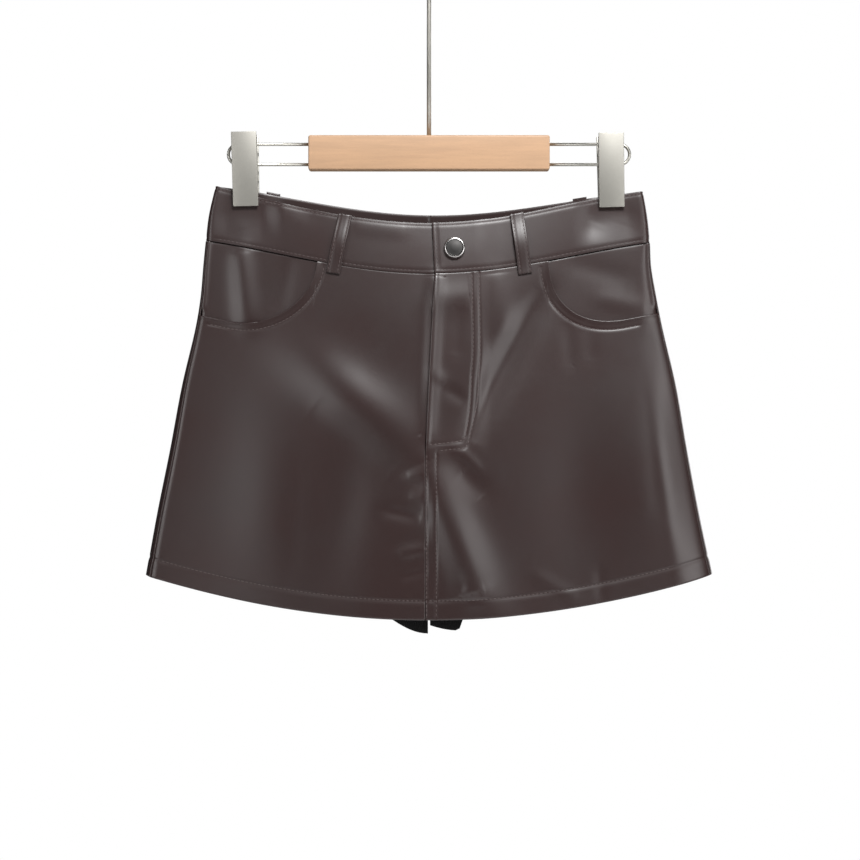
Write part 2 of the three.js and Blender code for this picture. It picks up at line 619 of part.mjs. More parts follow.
// One half of a clip, for its front: a flat pressed plate, the pad of its jaw and two side flanges.
function clipHalf(front) {
  const { width, height, sheet, topSpread, footSpread, jaw, flange, tuck, pinDrop, ear } = CLIP;
  const jawFace = PINCH.apart + BAND / 2 + GAP;
  const jawTop = jaw - height;
  const plate = [
    [topSpread + sheet, 0], [footSpread + sheet, -height], [jawFace, -height], [jawFace, jawTop],
    [mix(topSpread, footSpread, -jawTop / height), jawTop], [topSpread, 0],
  ];
  const wireSide = WIRE.diameter / 2 + GAP;
  const cheek = [
    [topSpread + tuck, -CLIP.flangeTop], [footSpread + tuck, CLIP.flangeFoot - height],
    [jawFace + tuck, CLIP.flangeFoot - height], [jawFace + tuck, jawTop],
    [wireSide, -pinDrop - ear / 2], [wireSide, -2 * CLIP.flangeTop],
    [wireSide + CLIP.flangeTop, -CLIP.flangeTop],
  ];
  const inset = front ? 0 : flange + GAP;
  let solid = clipSlab(plate, width, -width / 2);
  for (const x of [-width / 2 + inset, width / 2 - inset - flange]) {
    solid = solid.add(clipSlab(cheek, flange, x));
    const round = new THREE.CylinderGeometry(ear / 2, ear / 2, flange, 14);
    solid = solid.add(toSolid(round.rotateZ(Math.PI / 2).translate(x + flange / 2, 0, -pinDrop)));
    const arm = new THREE.BoxGeometry(flange, wireSide + 1, ear);
    solid = solid.add(toSolid(arm.translate(x + flange / 2, -(wireSide + 1) / 2, -pinDrop)));
  }
  const radius = CLIP.pin / 2 + (front ? 0 : GAP);
  const pin = new THREE.CylinderGeometry(radius, radius, width, 14);
  const across = toSolid(pin.rotateZ(Math.PI / 2).translate(0, 0, -pinDrop));
  solid = front ? solid.add(across) : solid.subtract(across);
  const geometry = toGeometry(solid);
  if (!front) geometry.rotateZ(Math.PI);
  return geometry;
}

for (const [side, name] of [[-1, "left"], [1, "right"]]) {
  add(skirt, `waistband_${name}`, waistband(side), LEATHER_FINISH());
  add(skirt, `front_${name}`, frontPanel(side), LEATHER_FINISH());
  add(skirt, `pocket_facing_${name}`, pocketFacing(side), LEATHER_FINISH());
  add(skirt, `back_${name}`, backPanel(side), LEATHER_FINISH());
  add(skirt, `shorts_${name}`, shortsHalf(side), JERSEY_FINISH());
}
for (const loop of FRONT_LOOPS) {
  const name = loop.side < 0 ? "left" : "right";
  add(skirt, `belt_loop_front_${name}`, beltLoop(loop, frontTurn, LOOP.below), LEATHER_FINISH());
}
for (const loop of BACK_LOOPS) {
  const name = loop.side < 0 ? "left" : "right";
  add(skirt, `belt_loop_back_${name}`, beltLoop(loop, backTurn, LOOP.backBelow), LEATHER_FINISH());
}

const zipFrom = (drop) => flyEdge(drop) + FLY_UNDERLAP + GAP;
const zipTo = (drop) => zipFrom(drop) + ZIP_WIDTH;
add(skirt, "fly_zip", flyStrip(zipFrom, zipTo, ZIP_LENGTH, TAPE, 0), finish(0x2a2422, 0.6));
const shield = flyStrip(
  () => SHIELD.from, () => SHIELD.to, SHIELD.length, -SHIELD.behind, -SHIELD.behind - SHIELD.depth);
add(skirt, "fly_shield", shield, LEATHER_FINISH());

const button = add(skirt, "button", buttonGeometry(), NICKEL_FINISH());
const buttonTurn = frontTurn(1, BUTTON.x, BUTTON.drop);
const buttonHeight = BAND / 2 + bandStep(BUTTON.x) + GAP;
button.position.copy(onTube(1, buttonTurn, BUTTON.drop, buttonHeight));
const buttonAxis = outward((t, d) => tube(1, t, d), 1, buttonTurn, BUTTON.drop);
button.quaternion.setFromUnitVectors(new THREE.Vector3(0, 1, 0), buttonAxis);

add(hanger, "hanger_hook", hookGeometry(), NICKEL_FINISH());
add(hanger, "hanger_bar", barGeometry(), WOOD_FINISH());
for (const clip of CLIPS) {
  const name = clip.side < 0 ? "left" : "right";
  add(hanger, `wire_${name}`, wireLoop(clip.side), NICKEL_FINISH());
  for (const face of ["front", "back"]) {
    const half = add(hanger, `clip_${name}_${face}`, clipHalf(face === "front"), NICKEL_FINISH());
    half.position.set(clip.x, 0, clip.top);
    half.rotation.y = THREE.MathUtils.degToRad(clip.lean);
  }
}

const part = new THREE.Group();
part.add(skirt, hanger);
export default part;
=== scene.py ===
"""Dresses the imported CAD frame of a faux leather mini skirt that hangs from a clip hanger.

All sizes in the tables are millimetres in the frame's own axes: +Z up, the front faces -Y.
"""

import math

import bmesh
import bpy
import numpy as np
from mathutils import Matrix, Vector


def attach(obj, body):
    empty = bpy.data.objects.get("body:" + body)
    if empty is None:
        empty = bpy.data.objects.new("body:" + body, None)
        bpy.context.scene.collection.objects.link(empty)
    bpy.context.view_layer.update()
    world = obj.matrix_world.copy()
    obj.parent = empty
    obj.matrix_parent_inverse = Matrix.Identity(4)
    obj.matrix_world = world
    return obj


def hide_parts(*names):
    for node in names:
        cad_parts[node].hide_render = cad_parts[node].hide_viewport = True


bl_info = {
    "name": "Leather skirt on a clip hanger",
    "version": (1, 0, 0),
    "blender": (4, 5, 0),
    "location": "View3D > Sidebar > Skirt",
    "description": "Cuts, sews and hangs a faux leather mini skirt with inner shorts",
    "category": "Object",
}

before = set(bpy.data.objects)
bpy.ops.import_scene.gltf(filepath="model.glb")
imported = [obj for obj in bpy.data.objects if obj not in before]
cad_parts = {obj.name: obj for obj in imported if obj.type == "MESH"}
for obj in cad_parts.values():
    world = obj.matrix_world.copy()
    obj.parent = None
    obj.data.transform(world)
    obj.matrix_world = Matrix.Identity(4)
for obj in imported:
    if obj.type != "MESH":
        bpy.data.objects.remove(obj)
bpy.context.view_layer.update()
BODY = "root"
MM = 0.001

# ---- the skirt's shape, the same tables as the solids have ----

GAP = 0.3
LEATHER = 1.2
BAND = 2.0
FACING = 1.0
JERSEY = 1.0
TAPE = 1.0
WAIST_SEAM_Z = -254.0
BAND_DEPTH = 43.0
SKIRT_DROP = 269.7
HEM_ALLOWANCE = 15.0

SIDE_NAMES = ("drop", "left", "right", "left_wide", "right_wide", "left_deep", "right_deep")
SIDES = (
    (-43, 171.8, 172.2, 3.2, 3.2, 3.2, 3.2),
    (-20, 177.1, 175.8, 3.6, 4.5, 3.6, 3.8),
    (0, 179.7, 177.8, 4, 6, 4, 4.5),
    (19.5, 181.7, 178.8, 4.4, 9, 4.3, 5.2),
    (45.4, 184, 183.2, 5, 13, 4.6, 6),
    (71.3, 188.3, 188.4, 5.6, 17, 5, 7),
    (116.7, 198.9, 198.9, 6.6, 22, 5.6, 8.5),
    (168.5, 208.6, 207.8, 7.4, 26, 6.2, 10),
    (220.3, 219.1, 217.5, 8, 29, 6.6, 11),
    (269.7, 228, 228, 8.5, 32, 7, 12),
)
MIDDLE_NAMES = (
    "drop", "front_dip", "back_dip", "front_bulge", "back_bulge", "round", "tilt", "curl",
)
MIDDLES = (
    (-43, 28.7, 20, 9, 12, 2, 4.4, 0.5),
    (0, 26.9, 21, 14, 16, 1.9, 1.6, 0.5),
    (45.4, 27.8, 23, 18, 20, 1.8, 1, 0.4),
    (116.7, 30, 26, 21.5, 24, 1.7, 0.3, 0.22),
    (168.5, 31.5, 28, 23, 25.5, 1.6, 0, 0.12),
    (269.7, 34.2, 31, 26, 27, 1.5, -0.9, 0),
)
TOP_CURL = {-1: -0.3, 1: 0.1}
# Broad folds: x, z, slant in degrees, long, wide, high.
FRONT_FOLDS = (
    (-60, -384, -40, 60, 24, 6.6),
    (-128, -450, 88, 75, 30, 2),
    (-70, -470, 80, 60, 22, -2.5),
    (62, -355, 63, 60, 15, -3.5),
    (28, -502, -66, 64, 19, 4.4),
    (120, -455, 84, 70, 28, -1.5),
    (174, -440, -84, 90, 36, 4.2),
)
BACK_FOLDS = (
    (-120, -430, 84, 80, 26, 3.5),
    (-45, -400, 66, 60, 18, -3),
    (30, -470, 100, 70, 22, 3),
    (95, -390, -62, 60, 17, -3),
    (150, -450, -84, 75, 24, 3),
)
# Smaller creases: high, wide, then the x, z places that each runs through.
FRONT_CREASES = (
    (2.3, 6.5, (5, -284), (3.5, -330), (1, -380), (-1, -410)),
    (-0.8, 14, (-92, -388), (-60, -412), (-30, -440)),
    (0.9, 4, (-17, -443), (-4, -441)),
    (-1.3, 6, (-36, -470), (-6, -476)),
    (1.3, 5.5, (-24, -505), (-3, -501)),
    (-0.7, 4, (-22, -524), (-4, -519)),
    (0.7, 4, (-15, -459), (-4, -460)),
    (1.0, 12, (2, -304), (32, -300)),
    (-0.6, 6, (25, -308), (21, -346)),
    (0.7, 5, (3, -360), (13, -369)),
    (-0.7, 5.5, (14, -373), (28, -383)),
    (1.0, 10, (54, -281), (60, -330)),
    (-1.8, 10, (93, -294), (73, -326), (50, -370), (31, -414)),
    (1.0, 4.5, (20, -422), (29, -427), (40, -438)),
    (-1.3, 9, (26, -440), (44, -458)),
    (3.0, 14, (-2, -432), (8, -456), (21, -492), (35, -536)),
    (0.8, 5, (24, -538), (44, -532)),
    (-0.5, 6, (111, -320), (114, -355)),
    (-0.4, 6, (129, -320), (130, -350)),
    (-0.6, 4, (26, -522), (26, -544)),
    (-0.6, 5, (137, -518), (138, -542)),
    (0.6, 6, (84, -522), (118, -541)),
    (-0.7, 8, (176, -330), (178, -400), (184, -470)),
    (-0.4, 9, (-104, -430), (-110, -520)),
    (0.8, 7, (-158, -222), (-150, -244)),
    (-0.8, 8, (-116, -218), (-92, -232)),
    (0.5, 7, (-60, -242), (-20, -246)),
    (-1.0, 8, (140, -222), (134, -240)),
    (1.1, 9, (160, -218), (152, -238)),
    (2.9, 10, (-152, -262), (-147, -320)),
    (-0.8, 8, (-112, -268), (-122, -310)),
    (-0.6, 9, (116, -272), (160, -284)),
    (0.7, 8, (136, -300), (176, -308)),
)
BACK_CREASES = (
    (0.8, 7, (-90, -330), (-58, -352), (-24, -382)),
    (-0.7, 6, (-70, -372), (-44, -400), (-20, -430)),
    (0.6, 5, (5, -436), (24, -440)),
    (-0.7, 5, (4, -476), (38, -470)),
    (0.7, 8, (70, -300), (60, -350), (44, -398)),
    (-0.8, 7, (110, -320), (104, -380), (92, -430)),
    (0.6, 8, (150, -400), (162, -500)),
    (-0.6, 8, (-150, -380), (-165, -500)),
)
POCKETS = {
    -1: {"start": 90.0, "run": 70.0, "depth": 60.0, "round": 1.8, "stitch": 5.6},
    1: {"start": 96.4, "run": 65.0, "depth": 57.4, "round": 2.2, "stitch": 6.6},
}
FACING_REACH = 10.0
FACING_DROP_OFF = 0.5
FACING_LIFT = 1.6
SIDE_SEAM_INSET = {-1: (1.6, 4.0), 1: (0.9, 2.2)}
HIPS = (40.0, 160.0)
FLY_EDGE_TOP = 4.4
FLY_EDGE_BOTTOM = -2.8
BAND_EDGE_TOP = 2.2
FLY_DEPTH = 134.0
FLY_FACING_WIDTH = 34.0
FLY_UNDERLAP = 3.0
ZIP_WIDTH = 26.0
ZIP_LENGTH = 126.0
SHIELD = {"from": -8.0, "to": 36.0, "length": 132.0, "behind": 0.6, "depth": 1.1}
BAND_UNDERLAP = 33.0
BAND_STEP_END = 62.0
FLY_STEP_END = 50.0
FLY_STEP_DROP = 18.0
LOOP = {
    "width": 11.0, "thickness": 1.6, "clear": 0.4, "bow": 2.0, "below": 7.5, "back_below": 4.0,
    "rise": 0.5, "back_rise": 2.0,
}
FRONT_LOOPS = {-1: (-67.3, -77.0), 1: (70.5, 77.2)}
BACK_LOOPS = {-1: (-126.0, -130.0), 1: (122.0, 126.0)}
BUTTON = {"x": 20.5, "drop": -20.4, "radius": 8.6, "height": 3.4}
SHORTS = {
    "above_seam": 6.0, "inset": 2.4, "slimmer": 23.0, "shallower": 7.0, "crotch_start": 150.0,
    "crotch": 214.0, "side_hem": 251.0, "apart": 4.2, "gusset": 46.0, "leg_gap": 0.8,
}
LEG_HEMS = {
    -1: {"lowest": 0.0, "lower": 31.5, "inwards": 46.0, "outwards": 46.0},
    1: {"lowest": 23.0, "lower": 29.0, "inwards": 60.0, "outwards": 8.0},
}
HOOK = {"wire": 3.6, "radius": 21.0, "bend": 14.0, "tip": 200.0, "socket": 14.0}
BAR = {"length": 195.0, "height": 28.0, "depth": 13.0, "top": -168.2}
WIRE = {"diameter": 2.6, "spacing": 16.4, "upper": -174.9, "reach": 163.8, "socket": 15.0}
CLIPS = {-1: (-149.2, -166.1, -1.2), 1: (146.6, -166.9, -1.1)}
CLIP = {
    "width": 20.4, "height": 59.5, "sheet": 1.6, "top": 9.5, "foot": 4.6, "jaw": 15.0,
    "flange": 1.2, "flange_top": 2.0, "flange_foot": 3.0, "pin": 3.0, "pin_drop": 38.5, "ear": 6.0,
}
PINCH = {"half": 12.5, "fade": 20.0, "from": -229.0, "to": -262.0, "apart": 1.6}

# ---- how finely the cloth is made ----

FINE = 1.5
MEDIUM = 2.0
COARSE = 3.5
EDGE_STEPS = np.array((0.0, 0.08, 0.22, 0.5))
EDGE_ROUND = 0.5
SEAM_GAP = 0.06
SEWING_REACH = 3.5
NUDGE = 1e-3


def smooth(start, end, value):
    share = np.clip((value - start) / (end - start), 0.0, 1.0)
    return share * share * (3 - 2 * share)


def mix(a, b, share):
    return a + (b - a) * share


def between(names, table, drop):
    """Every value of a table at each drop, on smooth curves through its rows."""
    rows = np.array(table, float)
    drops = rows[:, 0]
    last = len(rows) - 1
    i = np.clip(np.searchsorted(drops, drop, side="right") - 1, 0, last - 1)
    before, after = np.maximum(i - 1, 0), np.minimum(i + 2, last)
    a, b = rows[i], rows[i + 1]
    span = (drops[i + 1] - drops[i])[..., None]
    t = (drop - drops[i])[..., None] / span
    slope_a = (b - rows[before]) / (drops[i + 1] - drops[before])[..., None] * span
    slope_b = (rows[after] - a) / (drops[after] - drops[i])[..., None] * span
    bend = (t - 1) * slope_a + t * slope_b - (2 * t - 1) * (b - a)
    values = mix(a, b, t) + t * (t - 1) * bend
    return {name: values[..., k] for k, name in enumerate(names)}


def row_at(drop):
    drop = np.asarray(drop, float)
    return {**between(SIDE_NAMES, SIDES, drop), **between(MIDDLE_NAMES, MIDDLES, drop)}


def fold_of(side, row):
    name = "left" if side < 0 else "right"
    return row[name], row[name + "_wide"], row[name + "_deep"]


def flat_half(side, drop):
    half, wide, _ = fold_of(side, row_at(drop))
    return half - wide


def pinch(x, z):
    """How far the clips press the band together: 1 inside their jaws, 0 away from them."""
    away = np.where(x < 0, np.abs(x - CLIPS[-1][0]), np.abs(x - CLIPS[1][0]))
    across = 1 - smooth(PINCH["half"], PINCH["half"] + PINCH["fade"], away)
    return across * smooth(PINCH["to"], PINCH["from"], z)


def fold_height(folds, x, z):
    height = np.zeros_like(x)
    for at_x, at_z, slant, long, wide, high in folds:
        angle = math.radians(slant)
        along = (x - at_x) * math.cos(angle) + (z - at_z) * math.sin(angle)
        across = (z - at_z) * math.cos(angle) - (x - at_x) * math.sin(angle)
        height += high * np.exp(-((along / long) ** 2) - (across / wide) ** 2)
    return height


def rounded(points, count=6):
    """A smooth line of places through a few points."""
    knots = np.array(points, float)
    if len(knots) < 3:
        return knots
    ends = np.concatenate([2 * knots[:1] - knots[1:2], knots, 2 * knots[-1:] - knots[-2:-1]])
    line = []
    for k in range(1, len(ends) - 2):
        a, b, c, d = ends[k - 1], ends[k], ends[k + 1], ends[k + 2]
        for t in np.arange(count) / count:
            bend = (2 * a - 5 * b + 4 * c - d) * t + (3 * b - a - 3 * c + d) * t * t
            line.append(b + 0.5 * t * (c - a + bend))
    return np.array(line + [knots[-1]])


def off_line(line, x, y):
    """Distance of each place from a line, and the share of the line's length where it is nearest."""
    line = np.asarray(line, float)
    lengths = np.hypot(*(line[1:] - line[:-1]).T)
    starts = np.concatenate([[0], np.cumsum(lengths)])
    best = np.full(x.shape, 1e9)
    where = np.zeros(x.shape)
    for k, length in enumerate(lengths):
        dx, dy = (line[k + 1] - line[k]) / max(length, 1e-9)
        along = np.clip((x - line[k, 0]) * dx + (y - line[k, 1]) * dy, 0, length)
        away = np.hypot(x - line[k, 0] - along * dx, y - line[k, 1] - along * dy)
        near = away < best
        best = np.where(near, away, best)
        where = np.where(near, (starts[k] + along) / starts[-1], where)
    return best, where


def crease_height(creases, x, z):
    height = np.zeros_like(x)
    for high, wide, *points in creases:
        away, share = off_line(rounded(points), x, z)
        taper = np.sqrt(np.clip(4 * share * (1 - share), 0, 1)) * 0.6 + 0.4
        height += high * taper * np.exp(-((away / wide) ** 2))
    return height


def tube(side, turn, drop, row=None, creased=True):
    """Places on the hanging tube's base face. turn runs 0 to 1 from the centre front to the side
    fold, 1 to 2 round the fold and 2 to 3 along the back to the centre back."""
    row = row or row_at(drop)
    half, wide, deep = fold_of(side, row)
    flat = half - wide
    back = turn > 1.5
    angle = (np.clip(turn, 1, 2) - 1) * math.pi
    flat_x = flat * np.where(back, 3 - turn, turn)
    bulge = np.where(back, row["back_bulge"], row["front_bulge"]) - deep
    flat_y = deep + bulge * np.abs(np.cos(math.pi * flat_x / flat / 2)) ** row["round"]
    on_fold = (turn > 1) & (turn < 2)
    x = np.where(on_fold, flat + wide * np.sin(angle), flat_x)
    y = np.where(on_fold, -deep * np.cos(angle), np.where(back, flat_y, -flat_y))
    share = x / half
    curl = row["curl"] + np.where(back, 0, TOP_CURL[side] * np.maximum(-drop / BAND_DEPTH, 0))
    rise = mix(share**2, (1 - np.cos(math.pi * share)) / 2, curl)
    dip = np.where(back, row["back_dip"], row["front_dip"]) * (1 - rise)
    z = WAIST_SEAM_Z - drop - dip - (row["tilt"] / 2) * side * share
    press = pinch(side * x, z)
    y = mix(y, np.sign(y) * np.minimum(np.abs(y), PINCH["apart"]), press)
    free = (1 - smooth(0.88, 0.98, np.abs(share))) * smooth(0, 40, drop)
    across = side * x
    folds = np.where(back, fold_height(BACK_FOLDS, across, z), fold_height(FRONT_FOLDS, across, z))
    relief = free * folds
    if creased:
        small = np.where(
            back, crease_height(BACK_CREASES, across, z), crease_height(FRONT_CREASES, across, z)
        )
        relief = relief + small * (1 - smooth(0.94, 0.99, np.abs(share))) * (1 - press)
    y = y + np.where(back, relief, -relief)
    return np.stack([across, y, z], axis=-1)


def outward(point, side, turn, drop):
    along = point(turn + NUDGE, drop) - point(turn - NUDGE, drop)
    down = point(turn, drop + NUDGE) - point(turn, drop - NUDGE)
    normal = np.cross(along, down) * -side
    return normal / np.linalg.norm(normal, axis=-1, keepdims=True)


def on_tube(side, turn, drop, heights):
    """The tube moved outwards by each of some heights."""
    turn, drop = np.broadcast_arrays(np.asarray(turn, float), np.asarray(drop, float))

    def point(t, d):
        return tube(side, t, d)

    base, normal = point(turn, drop), outward(point, side, turn, drop)
    return [base + normal * np.asarray(height)[..., None] for height in heights]


def front_turn(side, x, drop):
    return side * x / flat_half(side, drop)


def back_turn(side, x, drop):
    return 3 - side * x / flat_half(side, drop)


def seam_turn(side, drop, gap=0.0):
    _, wide, deep = fold_of(side, row_at(drop))
    inset = mix(*SIDE_SEAM_INSET[side], smooth(*HIPS, drop))
    return 1 + (np.arcsin(1 - inset / wide) + gap / deep) / math.pi


def fly_edge(drop):
    return mix(FLY_EDGE_TOP, FLY_EDGE_BOTTOM, np.clip(drop / FLY_DEPTH, 0, 1))


def band_edge(drop):
    return mix(BAND_EDGE_TOP, FLY_EDGE_TOP, 1 + drop / BAND_DEPTH)


def band_step(x):
    return (BAND + GAP) * (1 - smooth(BAND_UNDERLAP + FLY_UNDERLAP, BAND_STEP_END, x))


def fly_step(x, drop):
    across = 1 - smooth(FLY_FACING_WIDTH, FLY_STEP_END, x)
    return (LEATHER + GAP) * across * (1 - smooth(FLY_DEPTH, FLY_DEPTH + FLY_STEP_DROP, drop))


def scoop_drop(side, x):
    pocket = POCKETS[side]
    left = (pocket["start"] + pocket["run"] - np.abs(x)) / pocket["run"]
    curve = np.clip(1 - np.clip(left, 0, 1) ** pocket["round"], 0, 1) ** (1 / pocket["round"])
    return np.where(left >= 1, 0.0, pocket["depth"] * curve)


def scoop_line(side, out=0.0):
    """The scoop's edge in the panel's own x and drop, or a line beside it on the panel."""
    pocket = POCKETS[side]
    angle = np.linspace(0.02, math.pi / 2, 50)
    x = pocket["start"] + pocket["run"] * (1 - np.cos(angle))
    x = np.append(x, np.arange(x[-1] + 2, 200, 2))
    line = np.stack([x, scoop_drop(side, x)], axis=-1)
    step = np.gradient(line, axis=0)
    step /= np.linalg.norm(step, axis=-1, keepdims=True)
    moved = line + out * np.stack([-step[:, 1], step[:, 0]], axis=-1)
    return np.stack([side * moved[:, 0], moved[:, 1]], axis=-1)


# ---- cloth ----


def spaced(length, step, start=True, end=True):
    """Distances across a piece, crowded where its cut edges are rounded."""
    head = EDGE_STEPS if start else EDGE_STEPS[:1]
    tail = EDGE_STEPS if end else EDGE_STEPS[:1]
    count = max(2, round((length - head[-1] - tail[-1]) / step))
    middle = np.linspace(head[-1], length - tail[-1], count + 1)
    return np.concatenate([head[:-1], middle, (length - tail[:-1])[::-1]])


def graded(length, step, marks=(), start=True, end=True):
    """The same, and finer near each line of sewing."""
    places = [0.0]
    while places[-1] < length:
        near = any(abs(places[-1] - mark) < SEWING_REACH for mark in marks)
        places.append(places[-1] + (step / 2 if near else step))
    head = EDGE_STEPS if start else EDGE_STEPS[:1]
    tail = EDGE_STEPS if end else EDGE_STEPS[:1]
    middle = head[-1] + np.array(places) * (length - head[-1] - tail[-1]) / places[-1]
    return np.concatenate([head[:-1], middle, (length - tail[:-1])[::-1]])


def grain_step(step):
    return step * 1.0


def edge_fill(*distances):
    """0 at a cut edge and 1 away from it, on the curve of a rounded edge."""
    nearest = np.minimum.reduce(np.broadcast_arrays(*distances))
    left = 1 - np.clip(nearest / EDGE_ROUND, 0, 1)
    return np.sqrt(1 - left**2)


def shell(name, outer, inner, materials, across, along):
    """A closed wall between two grids of places that meet at their edges."""
    columns, rows = outer.shape[:2]
    bm = bmesh.new()
    pattern = bm.verts.layers.float_vector.new("pattern")
    for face, places in enumerate((outer, inner)):
        made = bmesh.ops.create_grid(bm, x_segments=columns - 1, y_segments=rows - 1, size=1.0)
        for vert in made["verts"]:
            i = round((vert.co.x + 1) / 2 * (columns - 1))
            j = round((vert.co.y + 1) / 2 * (rows - 1))
            vert.co = places[i, j] * MM
            vert[pattern] = (across[i, j] * MM, along[i, j] * MM, face)
        faces = {found for vert in made["verts"] for found in vert.link_faces}
        if face:
            bmesh.ops.reverse_faces(bm, faces=list(faces))
            for found in faces:
                found.material_index = len(materials) - 1
    edges = [vert for vert in bm.verts if vert.is_boundary]
    bmesh.ops.remove_doubles(bm, verts=edges, dist=1e-6)
    if bm.calc_volume(signed=True) < 0:
        bmesh.ops.reverse_faces(bm, faces=bm.faces)
    return piece(name, bm, materials)


def piece(name, bm, materials, smooth_faces=True):
    """Finishes a bmesh as an object of its own that rides on the skirt's body."""
    for found in bm.faces:
        found.smooth = smooth_faces
    mesh = bpy.data.meshes.new(f"{name}_dressed")
    bm.to_mesh(mesh)
    bm.free()
    for material in materials:
        mesh.materials.append(material)
    made = bpy.data.objects.new(mesh.name, mesh)
    bpy.context.scene.collection.objects.link(made)
    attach(made, BODY)
    return made


def stitched(name, lines, surface, sizes):
    """One run of thread: a short bead for each stitch along lines on a surface."""
    bm = bmesh.new()
    for line in lines:
        line = np.asarray(line, float)
        lengths = np.concatenate([[0], np.cumsum(np.hypot(*(line[1:] - line[:-1]).T))])
        pitch = sizes.stitch_pitch / MM
        starts = np.arange(pitch / 2, lengths[-1] - pitch / 2, pitch)
        ends = starts + sizes.stitch_length / MM
        heads, tails = (
            surface(np.interp(at, lengths, line[:, 0]), np.interp(at, lengths, line[:, 1]))
            for at in (starts, ends)
        )
        for (head, normal), (tail, _) in zip(zip(*heads), zip(*tails)):
            add_bead(bm, head, tail, normal, sizes.thread_thickness / MM)
    made = piece(name, bm, [finishes(bpy.context)("Thread")])
    return made


def add_bead(bm, head, tail, normal, thick):
    long = Vector(tail - head)
    up = Vector(normal).normalized()
    across = long.normalized().cross(up).normalized()
    centre = Vector((head + tail) / 2) + up * thick * 0.1
    turn = Matrix((up * thick, across * thick, long)).transposed().to_4x4()
    place = Matrix.Translation(centre * MM) @ Matrix.Scale(MM, 4) @ turn
    bmesh.ops.create_uvsphere(bm, u_segments=6, v_segments=4, radius=0.5, matrix=place)


def outer_surface(side, turn_of, height_of):
    """Places and normals of a piece's outer face, from its own x and drop."""

    def surface(x, drop):
        turn = turn_of(x, drop)
        base, lifted = on_tube(side, turn, drop, (np.zeros_like(x), np.ones_like(x)))
        normal = lifted - base
        return base + normal * height_of(x, drop)[..., None], normal

    return surface


def groove(away, deep=0.38, wide=1.0):
    return -deep * np.exp(-((away / wide) ** 2))


FLY_STITCHES = (
    ((34.4, 1.5), (35.2, 58), (33.6, 83), (32.4, 103), (29.6, 123), (26.6, 130.5), (12, 132.6), (-1.5, 134)),
    ((40, 1.5), (40.8, 58), (39.2, 83), (37.6, 103), (33.6, 124), (28.8, 136.6), (18, 137.6), (6.7, 138.5)),
)
SEAM_STITCHES = (0.9, 8.6)


def front_lines(side):
    """The topstitching of a front panel, in its own x and drop."""
    hem = SKIRT_DROP - HEM_ALLOWANCE
    ends = flat_half(side, np.array(hem)) - 1
    start = fly_edge(np.array(hem)) + (1.0 if side > 0 else -1.0)
    lines = [np.array(((start, hem), (side * ends, hem)))]
    scoop = scoop_line(side, POCKETS[side]["stitch"])
    lines.append(scoop[(scoop[:, 1] > 2) & (np.abs(scoop[:, 0]) < flat_half(side, 60.0) - 1)])
    if side > 0:
        lines += [rounded(line, 8) for line in FLY_STITCHES]
        foot = fly_edge(np.array(FLY_DEPTH))
        lines += [
            np.array(((foot + out, FLY_DEPTH + 6), (foot + out, SKIRT_DROP - 1)))
            for out in SEAM_STITCHES
        ]
    return lines


